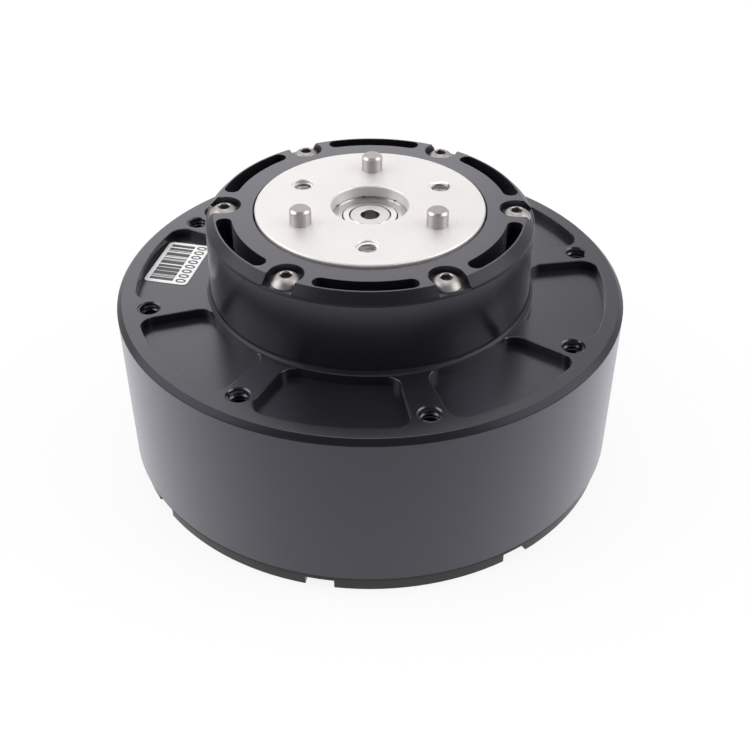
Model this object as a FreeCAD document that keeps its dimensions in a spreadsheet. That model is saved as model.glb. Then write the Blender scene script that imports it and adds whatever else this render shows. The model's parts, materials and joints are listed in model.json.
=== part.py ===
# Robot joint actuator: a flat brushless motor with one planetary stage behind a pinned output flange.
# Millimetres. Origin at the centre of the rear face, +Z along the output axis.
import FreeCAD, Part
import math
import os
import re

import Sketcher
from FreeCAD import Placement, Rotation, Vector

sizes = {
    # drum
    "drum_radius": 49.0,
    "drum_chamfer": 0.95,
    "sleeve_wall": 5.2,
    "flange_thickness": 6.0,
    # flange face: tapped holes and pockets
    "flange_hole_count": 8,
    "flange_hole_first_angle": 15.0,
    "flange_hole_inset": 6.05,
    "flange_thread_radius": 2.0,
    "flange_thread_chamfer": 0.25,
    "flange_thread_depth": 4.5,
    "pocket_first_angle": 37.5,
    "pocket_half_angle": 18.3,
    "pocket_outer_margin": 3.6,
    "pocket_neck_margin": 0.7,
    "pocket_depth": 1.8,
    "pocket_corner": 3.0,
    # neck
    "neck_wall": 5.5,
    "neck_chamfer": 1.7,
    "neck_fillet": 1.0,
    "lip_thickness": 1.75,
    "lip_width": 3.0,
    "slot_inner_wall": 1.0,
    "slot_outer_wall": 2.0,
    "slot_half_angle": 19.3,
    "slot_depth": 5.5,
    "neck_screw_count": 6,
    "neck_screw_inset": 3.45,
    "neck_screw_radius": 1.5,
    "neck_screw_head_radius": 2.8,
    "neck_screw_head_height": 1.65,
    "neck_screw_socket": 2.0,
    "neck_screw_socket_depth": 1.05,
    "neck_screw_length": 18.0,
    "neck_screw_seat_radius": 3.2,
    "neck_screw_seat_depth": 1.72,
    "neck_screw_slot_width": 6.1,
    "screw_clearance": 0.1,
    # gear set
    "gear_module": 0.5,
    "sun_teeth": 18,
    "planet_teeth": 36,
    "planet_count": 3,
    "pressure_angle": 20.0,
    "gear_backlash": 0.08,
    "gear_width": 8.2,
    "gear_end_clearance": 0.05,
    "ring_gear_wall": 2.275,
    "ring_bore_allowance": 0.5,
    "ring_flange_width": 4.7,
    "ring_flange_thickness": 3.5,
    "ring_flange_recess": 4.8,
    "seat_clearance": 0.05,
    "axle_radius": 2.0,
    "axle_grip": 2.5,
    "bush_wall": 0.6,
    "running_clearance": 0.02,
    "washer_thickness": 0.4,
    "washer_width": 2.15,
    # carrier
    "carrier_plate_thickness": 2.4,
    "carrier_plate_clearance": 0.8,
    "carrier_rotor_gap": 1.6,
    "shaft_passage_clearance": 0.6,
    "pillar_radius": 3.9,
    "pillar_circle_radius": 15.8,
    "carrier_screw_radius": 1.25,
    "carrier_screw_head_radius": 2.35,
    "carrier_screw_head_height": 1.1,
    "carrier_screw_length": 8.0,
    "hex_socket": 1.5,
    "hex_socket_depth": 0.7,
    # output flange
    "disc_gap": 0.4,
    "disc_thickness": 1.9,
    "disc_chamfer": 0.25,
    "disc_shoulder_width": 1.0,
    "disc_shoulder_height": 0.4,
    "journal_land": 1.2,
    "output_pin_inset": 5.6,
    "output_pin_radius": 2.0,
    "output_pin_step": 0.25,
    "output_pin_stand": 3.0,
    "output_pin_chamfer": 0.4,
    "output_pin_mouth": 0.2,
    "output_thread_inset": 4.75,
    "output_thread_radius": 2.0,
    "output_thread_chamfer": 0.2,
    "output_hole_depth": 6.0,
    "output_bore_radius": 7.25,
    "output_bore_depth": 2.2,
    # output bearing
    "output_bearing_shoulder": 0.4,
    "output_bearing_section": 5.0,
    "output_bearing_width": 6.0,
    "output_ball_radius": 1.4,
    "output_ball_count": 30,
    "race_gap": 0.9,
    "ball_clearance": 0.02,
    "seal_thickness": 0.3,
    "seal_setback": 0.2,
    "seal_clearance": 0.05,
    "clip_thickness": 0.8,
    "clip_groove_depth": 0.8,
    "clip_width": 2.0,
    "clip_gap_width": 6.0,
    "cage_wall": 0.4,
    # nose bearing between the shaft and the output flange
    "nose_bearing_bore_radius": 4.0,
    "nose_bearing_radius": 8.0,
    "nose_bearing_width": 5.0,
    "nose_ball_radius": 1.1,
    "nose_ball_count": 7,
    "nose_race_gap": 0.95,
    "nose_shield_gap": 0.25,
    # rear bearing of the shaft
    "rear_bearing_bore_radius": 5.0,
    "rear_bearing_radius": 9.5,
    "rear_bearing_width": 5.0,
    "rear_ball_radius": 1.2,
    "rear_ball_count": 10,
    "rear_race_gap": 0.95,
    "rear_bearing_height": 3.0,
    "rear_shoulder": 1.5,
    # shaft
    "shaft_land": 1.0,
    "shaft_shoulder": 1.5,
    "shaft_flange_radius": 12.0,
    "shaft_flange_thickness": 2.3,
    "shaft_groove_depth": 0.5,
    "nose_collar": 0.6,
    "shaft_chamfer": 0.35,
    "centre_hole_radius": 1.78,
    "centre_hole_depth": 3.0,
    # rotor
    "rotor_gap": 0.6,
    "bell_wall": 1.2,
    "bell_plate_thickness": 1.8,
    "bell_top_gap": 0.7,
    "bell_skirt_gap": 1.5,
    "bell_window_count": 6,
    "bell_window_radius": 5.0,
    "bell_window_circle_radius": 27.0,
    "rotor_screw_count": 6,
    "rotor_screw_circle_radius": 8.6,
    "rotor_screw_length": 3.6,
    "magnet_count": 42,
    "magnet_thickness": 1.55,
    "magnet_height": 14.0,
    "magnet_spacing_angle": 0.6,
    "magnet_skirt_setback": 1.0,
    # stator
    "air_gap": 0.45,
    "stator_tooth_count": 36,
    "stator_tooth_half_width": 1.3,
    "stator_tip_half_angle": 4.0,
    "stator_tip_thickness": 0.9,
    "stator_tip_slope": 0.5,
    "stator_depth": 18.0,
    "stator_yoke": 3.8,
    "stator_height": 10.2,
    "winding_overhang": 2.9,
    "winding_floor_gap": 0.9,
    "winding_top_gap": 1.3,
    "winding_end_gap": 0.4,
    "winding_side_gap": 0.12,
    # stator mount
    "mount_thickness": 2.5,
    "mount_seat_step": 0.8,
    "mount_shoulder": 3.0,
    "mount_boss_stand": 1.2,
    "lead_count": 3,
    "lead_radius": 0.8,
    "lead_hole_clearance": 0.4,
    "lead_inset": 7.0,
    # rear cover
    "cover_plate_thickness": 2.0,
    "cover_rim_height": 3.5,
    "cover_edge_setback": 0.75,
    "cover_groove": 1.1,
    "cover_spigot_wall": 1.2,
    "cover_screw_count": 8,
    "cover_screw_first_angle": 35.5,
    "cover_screw_inset": 2.85,
    "cover_screw_radius": 1.0,
    "cover_screw_head_radius": 1.9,
    "cover_screw_head_height": 0.9,
    "cover_screw_length": 8.0,
    "cover_notch_width": 5.3,
    "cover_notch_depth": 1.7,
    # driver board
    "component_space": 2.2,
    "board_thickness": 1.6,
    "board_edge_gap": 0.5,
    "board_standoff": 0.7,
    "standoff_radius": 2.6,
    "board_screw_count": 4,
    "board_screw_inset": 4.0,
    "board_screw_radius": 1.0,
    "board_screw_head_radius": 1.9,
    "board_screw_head_height": 1.1,
    "board_screw_length": 4.0,
    "encoder_magnet_radius": 3.0,
    "encoder_magnet_thickness": 2.0,
    "encoder_chip_side": 4.0,
    "encoder_chip_thickness": 1.0,
    "controller_side": 10.0,
    "controller_thickness": 1.2,
    "transistor_count": 6,
    "transistor_length": 6.0,
    "transistor_width": 5.0,
    "transistor_thickness": 1.0,
    "transistor_offset": 7.5,
    "capacitor_count": 4,
    "capacitor_radius": 3.1,
    "capacitor_thickness": 1.8,
    "capacitor_offset": 5.0,
    # sockets
    "socket_inset": 15.9,
    "socket_recess": 0.5,
    "socket_clearance": 0.3,
    "power_socket_length": 16.0,
    "power_socket_width": 6.4,
    "power_hole_radius": 1.7,
    "power_pin_radius": 0.9,
    "power_pin_spacing": 7.2,
    "signal_socket_length": 9.0,
    "signal_socket_width": 4.4,
    "signal_socket_wall": 0.8,
    "signal_socket_offset": 13.0,
    "signal_pin_side": 0.5,
    "signal_pin_pitch": 1.6,
    "signal_pin_count": 4,
    "socket_depth": 2.6,
    "socket_pin_length": 2.0,
    # label
    "label_length": 15.2,
    "label_width": 9.0,
    "label_thickness": 0.1,
    "label_edge_gap": 0.85,
    "label_angle": 168.6,
    "cut_overshoot": 1.0,
}

# Heights and radii that follow from the sizes above, as expressions.
places = {
    # heights, from the rear face up
    "board_low": "cover_plate_thickness + component_space",
    "board_top": "board_low + board_thickness",
    "mount_low": "board_top + board_standoff",
    "mount_top": "mount_low + mount_thickness",
    "winding_low": "mount_top + winding_floor_gap",
    "stator_low": "winding_low + winding_overhang",
    "stator_top": "stator_low + stator_height",
    "winding_top": "stator_top + winding_overhang",
    "bell_low": "winding_top + winding_top_gap",
    "bell_top": "bell_low + bell_plate_thickness",
    "skirt_low": "mount_top + bell_skirt_gap",
    "flange_low": "bell_top + bell_top_gap",
    "flange_top": "flange_low + flange_thickness",
    "carrier_low": "bell_top + carrier_rotor_gap",
    "carrier_top": "carrier_low + carrier_plate_thickness",
    "planet_low": "carrier_top + washer_thickness",
    "planet_top": "planet_low + gear_width",
    "journal_low": "planet_top + washer_thickness",
    "clip_low": "journal_low + journal_land",
    "output_bearing_low": "clip_low + clip_thickness",
    "output_bearing_top": "output_bearing_low + output_bearing_width",
    "neck_top": "output_bearing_top + lip_thickness",
    "disc_low": "output_bearing_top + disc_shoulder_height",
    "disc_top": "disc_low + disc_thickness",
    "ring_flange_top": "flange_low + ring_flange_recess",
    "ring_gear_low": "ring_flange_top - ring_flange_thickness",
    "neck_screw_seat": "neck_top - neck_screw_seat_depth",
    "nose_bearing_top": "disc_top - output_bore_depth",
    "nose_bearing_low": "nose_bearing_top - nose_bearing_width",
    "rear_bearing_low": "mount_top + rear_bearing_height",
    "rear_bearing_top": "rear_bearing_low + rear_bearing_width",
    "shaft_clip_low": "rear_bearing_low - clip_thickness",
    "shaft_low": "shaft_clip_low - shaft_land",
    "shaft_flange_low": "bell_low - shaft_flange_thickness",
    # radii, from the gears out
    "sun_pitch": "gear_module * sun_teeth / 2",
    "planet_pitch": "gear_module * planet_teeth / 2",
    "planet_circle": "sun_pitch + planet_pitch",
    "ring_pitch": "sun_pitch + 2 * planet_pitch",
    "ring_tip": "ring_pitch - gear_module",
    "ring_gear_radius": "ring_pitch + 1.25 * gear_module + ring_gear_wall",
    "sun_tip": "sun_pitch + gear_module",
    "bush_radius": "axle_radius + running_clearance + bush_wall",
    "ring_flange_radius": "ring_gear_radius + ring_flange_width",
    "output_bearing_radius": "ring_gear_radius - output_bearing_shoulder",
    "journal_radius": "output_bearing_radius - output_bearing_section",
    "lip_radius": "output_bearing_radius - lip_width",
    "disc_radius": "lip_radius - disc_gap",
    "neck_radius": "ring_gear_radius + neck_wall",
    "neck_screw_circle": "neck_radius - neck_screw_inset",
    "slot_inner": "output_bearing_radius + slot_inner_wall",
    "slot_outer": "neck_radius - slot_outer_wall",
    # radii, from the drum in
    "sleeve_radius": "drum_radius - sleeve_wall",
    "mount_seat": "sleeve_radius + mount_seat_step",
    "mount_radius": "mount_seat - seat_clearance",
    "flange_hole_circle": "drum_radius - flange_hole_inset",
    "pocket_inner": "neck_radius + pocket_neck_margin",
    "pocket_outer": "drum_radius - pocket_outer_margin",
    "bell_radius": "sleeve_radius - rotor_gap",
    "magnet_outer": "bell_radius - bell_wall",
    "magnet_inner": "magnet_outer - magnet_thickness",
    "stator_radius": "magnet_inner - air_gap",
    "stator_bore": "stator_radius - stator_depth",
    "yoke_radius": "stator_bore + stator_yoke",
    "lead_circle": "stator_radius - lead_inset",
    "stator_tip_base": "stator_radius - stator_tip_thickness",
    "cover_radius": "drum_radius - cover_edge_setback",
    "cover_spigot_inner": "mount_radius - cover_spigot_wall",
    "cover_screw_circle": "drum_radius - cover_screw_inset",
    "board_radius": "cover_spigot_inner - board_edge_gap",
    "board_screw_circle": "board_radius - board_screw_inset",
    "socket_circle": "board_radius - socket_inset",
    "transistor_circle": "socket_circle + transistor_offset",
    "capacitor_circle": "socket_circle - capacitor_offset",
    "output_pin_circle": "journal_radius - output_pin_inset",
    "output_pin_seat": "output_pin_radius - output_pin_step",
    "output_thread_circle": "journal_radius - output_thread_inset",
    "label_circle": "pocket_outer - label_edge_gap - label_width / 2",
}

doc = FreeCAD.newDocument("joint_actuator")
sheet = doc.addObject("Spreadsheet::Sheet", "sizes")
for row, (alias, number) in enumerate(sizes.items(), 1):
    sheet.set(f"A{row}", alias)
    sheet.set(f"B{row}", str(number))
    sheet.setAlias(f"B{row}", alias)
doc.recompute()


def bound(text):
    """The expression with every word written out in cells of the sheet."""

    def written(match):
        word = match.group()
        if word in places:
            return "(" + bound(places[word]) + ")"
        return "sizes." + word if word in sizes else word

    return re.sub(r"[a-z_]+", written, text)


def value(text):
    return float(sheet.evalExpression(bound(text)))


def bind(item, **fields):
    for field, text in fields.items():
        item.setExpression(field.replace("_base_", "Placement.Base."), bound(text))
    return item


# Building blocks.


def cylinder(name, radius, low, high, across="0", along="0"):
    item = doc.addObject("Part::Cylinder", name)
    bind(item, Radius=radius, Height=f"({high}) - ({low})")
    return bind(item, _base_x=across, _base_y=along, _base_z=low)


def cone(name, low_radius, high_radius, low, high, across="0"):
    item = doc.addObject("Part::Cone", name)
    bind(item, Radius1=low_radius, Radius2=high_radius, Height=f"({high}) - ({low})")
    return bind(item, _base_x=across, _base_z=low)


def block(name, length, width, low, high, across="0", along="0"):
    """A box centred on (across, along)."""
    item = doc.addObject("Part::Box", name)
    bind(item, Length=length, Width=width, Height=f"({high}) - ({low})")
    bind(item, _base_x=f"({across}) - ({length}) / 2", _base_y=f"({along}) - ({width}) / 2")
    return bind(item, _base_z=low)


def ball(name, radius, height, across):
    item = doc.addObject("Part::Sphere", name)
    return bind(item, Radius=radius, _base_x=across, _base_z=height)


def radial_pin(name, radius, first, last, height):
    """A cylinder that lies along +X from a first to a last distance from the axis."""
    item = doc.addObject("Part::Cylinder", name)
    item.Placement = Placement(Vector(), Rotation(Vector(0, 1, 0), 90))
    bind(item, Radius=radius, Height=f"({last}) - ({first})")
    return bind(item, _base_x=first, _base_z=height)


def cut(name, base, *tools):
    item = doc.addObject("Part::Cut", name)
    item.Base = base
    item.Tool = tools[0] if len(tools) == 1 else fuse(name + "_tools", *tools)
    return item


def fuse(name, *items):
    item = doc.addObject("Part::MultiFuse", name)
    item.Shapes = list(items)
    return item


def group(name, *items):
    """Separate solids kept together as one sub-part."""
    item = doc.addObject("Part::Compound", name)
    item.Links = list(items)
    return item


def tube(name, outer, inner, low, high, across="0"):
    whole = cylinder(name + "_outside", outer, low, high, across)
    bore = cylinder(name + "_bore", inner, low, high, across)
    return cut(name, whole, bore)


def sector(name, inner, outer, span, low, high):
    """A block between two radii that starts on +X and spans an angle about Z."""
    whole = cylinder(name + "_outside", outer, low, high)
    bind(whole, Angle=span)
    return cut(name, whole, cylinder(name + "_inside", inner, low, high))


def around(name, item, count, first="0"):
    """Copies of an item made on +X, evenly spaced about Z from a first angle."""
    copies = doc.addObject("App::Link", name + "_copies")
    copies.LinkedObject = group(name + "_one", item)
    copies.ShowElement = False
    copies.ElementCount = round(value(count))
    step = 360 / copies.ElementCount
    copies.PlacementList = [
        Placement(Vector(), Rotation(Vector(0, 0, 1), value(first) + step * number))
        for number in range(copies.ElementCount)
    ]
    return group(name, copies)


def moved(name, item, across="0", along="0", height="0"):
    """A copy of an item moved from where it was made."""
    copy = doc.addObject("App::Link", name + "_copy")
    copy.LinkedObject = group(name + "_one", item)
    bind(copy, _base_x=across, _base_y=along, _base_z=height)
    return group(name, copy)


def turned(name, outline):
    """A body turned about Z from (radius, height) corners in order."""
    body = doc.addObject("PartDesign::Body", name)
    sketch = body.newObject("Sketcher::SketchObject", name + "_outline")
    plane = next(item for item in body.Origin.OriginFeatures if item.Role == "XZ_Plane")
    sketch.AttachmentSupport = [(plane, "")]
    sketch.MapMode = "FlatFace"
    corners = [Vector(value(radius), value(height), 0) for radius, height in outline]
    count = len(corners)
    for number in range(count):
        sketch.addGeometry(Part.LineSegment(corners[number], corners[(number + 1) % count]))
    for number in range(count):
        follower = (number + 1) % count
        sketch.addConstraint(Sketcher.Constraint("Coincident", number, 2, follower, 1))
    for number, (corner, texts) in enumerate(zip(corners, outline)):
        for kind, distance, text in zip(("DistanceX", "DistanceY"), corner, texts):
            rule = Sketcher.Constraint(kind, -1, 1, number, 1, distance)
            sketch.setExpression(f"Constraints[{sketch.addConstraint(rule)}]", bound(text))
    revolution = body.newObject("PartDesign::Revolution", name + "_turning")
    revolution.Profile = sketch
    revolution.ReferenceAxis = (sketch, ["V_Axis"])
    revolution.Angle = 360
    return body


def filleted(body, name, edge_radius, edge_height, size):
    """Rounds the circular edge of a turned body that has this radius and height."""
    doc.recompute()
    turning = body.Tip
    names = [
        f"Edge{number}"
        for number, edge in enumerate(turning.Shape.Edges, 1)
        if isinstance(edge.Curve, Part.Circle)
        and abs(edge.Curve.Radius - value(edge_radius)) < 1e-6
        and abs(edge.Curve.Center.z - value(edge_height)) < 1e-6
    ]
    fillet = body.newObject("PartDesign::Fillet", name)
    fillet.Base = (turning, names)
    bind(fillet, Radius=size)


def rounded(name, base, radius):
    """A prism with its upright edges rounded."""
    doc.recompute()
    upright = [
        number
        for number, edge in enumerate(base.Shape.Edges, 1)
        if isinstance(edge.Curve, Part.Line) and abs(edge.Curve.Direction.z) > 0.99
    ]
    fillet = doc.addObject("Part::Fillet", name)
    fillet.Base = base
    fillet.Edges = [(number, value(radius), value(radius)) for number in upright]
    return fillet


def made(name, shape, height, across="0", along="0"):
    """A feature whose shape is worked out at zero height with Part's own functions."""
    item = doc.addObject("Part::Feature", name)
    item.Shape = shape
    return bind(item, _base_x=across, _base_y=along, _base_z=height)


# Fasteners, made standing on the origin with the head's seat at zero height.


def hexagon(name, across_flats, low, high):
    prism = doc.addObject("Part::Prism", name)
    prism.Polygon = 6
    bind(prism, Circumradius=f"({across_flats}) / sqrt(3)", Height=f"({high}) - ({low})")
    return bind(prism, _base_z=low)


def button_screw(name, prefix, socket, socket_depth):
    """A dome-headed screw with a hexagon socket; prefix names its radius, head and length."""
    head_radius = prefix + "_head_radius"
    head_height = prefix + "_head_height"
    dome_radius = f"({head_radius} ^ 2 + {head_height} ^ 2) / (2 * {head_height})"
    dome = ball(name + "_dome", dome_radius, f"{head_height} - {dome_radius}", "0")
    seat = cylinder(name + "_seat", head_radius, "0", head_height)
    head = doc.addObject("Part::Common", name + "_head")
    head.Base = dome
    head.Tool = seat
    shank = cylinder(name + "_shank", prefix + "_radius", f"-{prefix}_length", "0")
    recess = hexagon(
        name + "_recess", socket, f"{head_height} - {socket_depth}", f"{head_height} + cut_overshoot"
    )
    return cut(name, fuse(name + "_blank", head, shank), recess)


def flat_screw(name, prefix, length):
    """A countersunk screw with its flat head's face at zero height and its shank above it."""
    head_height = prefix + "_head_height"
    head = cone(name + "_head", prefix + "_head_radius", prefix + "_radius", "0", head_height)
    shank = cylinder(name + "_shank", prefix + "_radius", head_height, length)
    recess = hexagon(name + "_recess", "hex_socket", "-cut_overshoot", "hex_socket_depth")
    return cut(name, fuse(name + "_blank", head, shank), recess)


# Bearings.


def race_groove(name, ball_radius, circle, height):
    groove = doc.addObject("Part::Torus", name)
    bind(groove, Radius1=circle, Radius2=f"{ball_radius} + ball_clearance")
    return bind(groove, _base_z=height)


def bearing(name, bore, radius, low, width, ball_radius, count, gap):
    """Inner race, outer race, balls and cage of a deep groove ball bearing."""
    high = f"{low} + {width}"
    middle = f"{low} + {width} / 2"
    circle = f"({bore} + {radius}) / 2"
    inner_blank = tube(name + "_inner_blank", f"{circle} - {gap}", bore, low, high)
    inner_groove = race_groove(name + "_inner_groove", ball_radius, circle, middle)
    inner = cut(name + "_inner_race", inner_blank, inner_groove)
    outer_blank = tube(name + "_outer_blank", radius, f"{circle} + {gap}", low, high)
    outer_groove = race_groove(name + "_outer_groove", ball_radius, circle, middle)
    outer = cut(name + "_outer_race", outer_blank, outer_groove)
    one_ball = ball(name + "_ball", ball_radius, middle, circle)
    balls = around(name + "_balls", one_ball, count)
    cage_low = f"{middle} - {ball_radius} - cage_wall"
    cage_high = f"{middle} + {ball_radius} + cage_wall"
    cage_outer = f"{circle} + cage_wall"
    cage_inner = f"{circle} - cage_wall"
    cage_blank = tube(name + "_cage_blank", cage_outer, cage_inner, cage_low, cage_high)
    window = radial_pin(
        name + "_cage_window",
        f"{ball_radius} + ball_clearance",
        f"{cage_inner} - cut_overshoot",
        f"{cage_outer} + cut_overshoot",
        middle,
    )
    cage = cut(name + "_cage", cage_blank, around(name + "_cage_windows", window, count))
    return inner, outer, balls, cage


# Gears.


def involute(angle):
    return math.tan(angle) - angle


def half_angle(radius, pitch, teeth, thinning):
    """Half the angle of an involute tooth at a radius, thinned at the pitch circle."""
    base_angle = math.radians(value("pressure_angle"))
    base = pitch * math.cos(base_angle)
    here = math.acos(min(1.0, base / radius))
    return math.pi / (2 * teeth) - thinning / (2 * pitch) + involute(base_angle) - involute(here)


def polar(radius, angle):
    return Vector(radius * math.cos(angle), radius * math.sin(angle), 0)


def arc(radius, first, last):
    middle = (first + last) / 2
    return Part.Arc(polar(radius, first), polar(radius, middle), polar(radius, last)).toShape()


def gear_wire(pitch, teeth, inner, outer, thinning, phase):
    """A gear's outline: teeth between an inner and an outer radius, one of them at the phase angle."""
    base = pitch * math.cos(math.radians(value("pressure_angle")))
    start = max(inner, base)
    flank = [start + (outer - start) * step / 6 for step in range(7)]
    edges = []
    for number in range(teeth):
        centre = phase + 2 * math.pi * number / teeth
        rising = [polar(r, centre - half_angle(r, pitch, teeth, thinning)) for r in flank]
        falling = [polar(r, centre + half_angle(r, pitch, teeth, thinning)) for r in reversed(flank)]
        root = half_angle(start, pitch, teeth, thinning)
        tip = half_angle(outer, pitch, teeth, thinning)
        if inner < start:
            edges.append(Part.LineSegment(polar(inner, centre - root), rising[0]).toShape())
        edges.append(spline(rising))
        edges.append(arc(outer, centre - tip, centre + tip))
        edges.append(spline(falling))
        if inner < start:
            edges.append(Part.LineSegment(falling[-1], polar(inner, centre + root)).toShape())
        edges.append(arc(inner, centre + root, centre + 2 * math.pi / teeth - root))
    return Part.Wire(edges)


def spline(points):
    curve = Part.BSplineCurve()
    curve.interpolate(points)
    return curve.toShape()


def outer_gear(pitch, teeth, width, phase):
    root = pitch - 1.25 * value("gear_module")
    tip = pitch + value("gear_module")
    wire = gear_wire(pitch, teeth, root, tip, value("gear_backlash") / 2, phase)
    return Part.Face(wire).extrude(Vector(0, 0, width))


# Front housing: drum, flange and neck.


def front_housing():
    body = turned(
        "housing_turning",
        [
            ("mount_seat", "cover_rim_height"),
            ("drum_radius", "cover_rim_height"),
            ("drum_radius", "flange_top - drum_chamfer"),
            ("drum_radius - drum_chamfer", "flange_top"),
            ("neck_radius", "flange_top"),
            ("neck_radius", "neck_top - neck_chamfer"),
            ("neck_radius - neck_chamfer", "neck_top"),
            ("lip_radius", "neck_top"),
            ("lip_radius", "output_bearing_top"),
            ("output_bearing_radius", "output_bearing_top"),
            ("output_bearing_radius", "output_bearing_low"),
            ("ring_gear_radius", "output_bearing_low"),
            ("ring_gear_radius", "ring_flange_top"),
            ("ring_flange_radius + seat_clearance", "ring_flange_top"),
            ("ring_flange_radius + seat_clearance", "flange_low"),
            ("sleeve_radius", "flange_low"),
            ("sleeve_radius", "mount_top"),
            ("mount_seat", "mount_top"),
        ],
    )
    filleted(body, "neck_base_fillet", "neck_radius", "flange_top", "neck_fillet")
    tools = [flange_threads(), flange_pockets(), neck_slots(), neck_screw_seats(), cover_threads()]
    return cut("front_housing", body, *tools)


def flange_threads():
    depth = "flange_top - flange_thread_depth"
    above = "flange_top + cut_overshoot"
    hole = cylinder("flange_thread", "flange_thread_radius", depth, above, "flange_hole_circle")
    mouth = cone(
        "flange_mouth",
        "flange_thread_radius",
        "flange_thread_radius + flange_thread_chamfer",
        "flange_top - flange_thread_chamfer",
        "flange_top",
        "flange_hole_circle",
    )
    pair = fuse("flange_hole", hole, mouth)
    return around("flange_holes", pair, "flange_hole_count", "flange_hole_first_angle")


def flange_pockets():
    floor = "flange_top - pocket_depth"
    above = "flange_top + cut_overshoot"
    span = "2 * pocket_half_angle"
    plain = sector("pocket_plain", "pocket_inner", "pocket_outer", span, floor, above)
    pocket = rounded("pocket", plain, "min(pocket_corner; (pocket_outer - pocket_inner) * 0.4)")
    first = "pocket_first_angle - pocket_half_angle"
    return around("pockets", pocket, "flange_hole_count", first)


def neck_slots():
    floor = "neck_top - slot_depth"
    above = "neck_top + cut_overshoot"
    plain = sector("slot_plain", "slot_inner", "slot_outer", "2 * slot_half_angle", floor, above)
    slot = rounded("slot", plain, "(slot_outer - slot_inner) * 0.48")
    first = "180 / neck_screw_count - slot_half_angle"
    return around("slots", slot, "neck_screw_count", first)


def neck_screw_seats():
    above = "neck_top + cut_overshoot"
    shank = cylinder(
        "neck_screw_hole",
        "neck_screw_radius + screw_clearance",
        "ring_flange_top - cut_overshoot",
        above,
        "neck_screw_circle",
    )
    seat = cylinder(
        "neck_screw_seat", "neck_screw_seat_radius", "neck_screw_seat", above, "neck_screw_circle"
    )
    way_out = block(
        "neck_screw_slot",
        "neck_screw_inset + cut_overshoot",
        "neck_screw_slot_width",
        "neck_screw_seat",
        above,
        "neck_screw_circle + (neck_screw_inset + cut_overshoot) / 2",
    )
    seat_cut = fuse("neck_screw_cut", shank, seat, way_out)
    return around("neck_screw_cuts", seat_cut, "neck_screw_count")


def cover_threads():
    hole = cylinder(
        "cover_thread",
        "cover_screw_radius",
        "cover_rim_height - cut_overshoot",
        "cover_notch_depth + cover_screw_length + cut_overshoot",
        "cover_screw_circle",
    )
    return around("cover_threads", hole, "cover_screw_count", "cover_screw_first_angle")


def neck_screws():
    screw = button_screw(
        "neck_screw", "neck_screw", "neck_screw_socket", "neck_screw_socket_depth"
    )
    placed = moved("neck_screw_placed", screw, "neck_screw_circle", "0", "neck_screw_seat")
    return around("neck_screws", placed, "neck_screw_count")


# Gear set.


def ring_gear():
    """A flanged ring whose bore is cut by the shape of a gear with as many teeth."""
    blank = turned(
        "ring_turning",
        [
            ("ring_tip - ring_bore_allowance", "ring_gear_low"),
            ("ring_flange_radius", "ring_gear_low"),
            ("ring_flange_radius", "ring_flange_top"),
            ("ring_gear_radius", "ring_flange_top"),
            ("ring_gear_radius", "output_bearing_low"),
            ("ring_tip - ring_bore_allowance", "output_bearing_low"),
        ],
    )
    teeth = round(value("sun_teeth + 2 * planet_teeth"))
    root = value("ring_pitch + 1.25 * gear_module")
    thinning = -value("gear_backlash") / 2
    gap_phase = math.radians(90 + 180 / teeth)
    wire = gear_wire(value("ring_pitch"), teeth, value("ring_tip"), root, thinning, gap_phase)
    height = value("output_bearing_low - ring_gear_low + 2 * cut_overshoot")
    space = Part.Face(wire).extrude(Vector(0, 0, height))
    teeth_space = made("ring_teeth_space", space, "ring_gear_low - cut_overshoot")
    thread = cylinder(
        "ring_thread",
        "neck_screw_radius",
        "ring_gear_low - cut_overshoot",
        "ring_flange_top + cut_overshoot",
        "neck_screw_circle",
    )
    threads = around("ring_threads", thread, "neck_screw_count")
    return cut("ring_gear", blank, teeth_space, threads)


def planet_gears():
    """The planets stand with a tooth gap towards the sun and another towards the ring."""
    low = "planet_low + gear_end_clearance"
    width = value("gear_width - 2 * gear_end_clearance")
    teeth = round(value("planet_teeth"))
    bore = Part.makeCylinder(value("bush_radius"), width)
    bush = bore.cut(Part.makeCylinder(value("axle_radius + running_clearance"), width))
    gears = []
    bushes = []
    for number in range(round(value("planet_count"))):
        around_sun = f"(90 + 360 * {number} / planet_count)"
        centre = (f"planet_circle * cos({around_sun})", f"planet_circle * sin({around_sun})")
        phase = math.radians(value(around_sun) + 180 / teeth)
        gear = outer_gear(value("planet_pitch"), teeth, width, phase).cut(bore)
        gears.append(made(f"planet_gear_{number + 1}", gear, low, *centre))
        bushes.append(made(f"planet_bush_{number + 1}", bush, low, *centre))
    return gears + bushes


def planet_axles():
    axle = cylinder(
        "planet_axle", "axle_radius", "carrier_low", "journal_low + axle_grip", "planet_circle"
    )
    return around("planet_axles", axle, "planet_count", "90")


def planet_washers():
    low = tube(
        "low_washer",
        "axle_radius + washer_width",
        "axle_radius",
        "carrier_top",
        "planet_low",
        "planet_circle",
    )
    high = tube(
        "high_washer",
        "axle_radius + washer_width",
        "axle_radius",
        "planet_top",
        "journal_low",
        "planet_circle",
    )
    return around("planet_washers", group("washer_pair", low, high), "planet_count", "90")


# Output flange and carrier.


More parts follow.
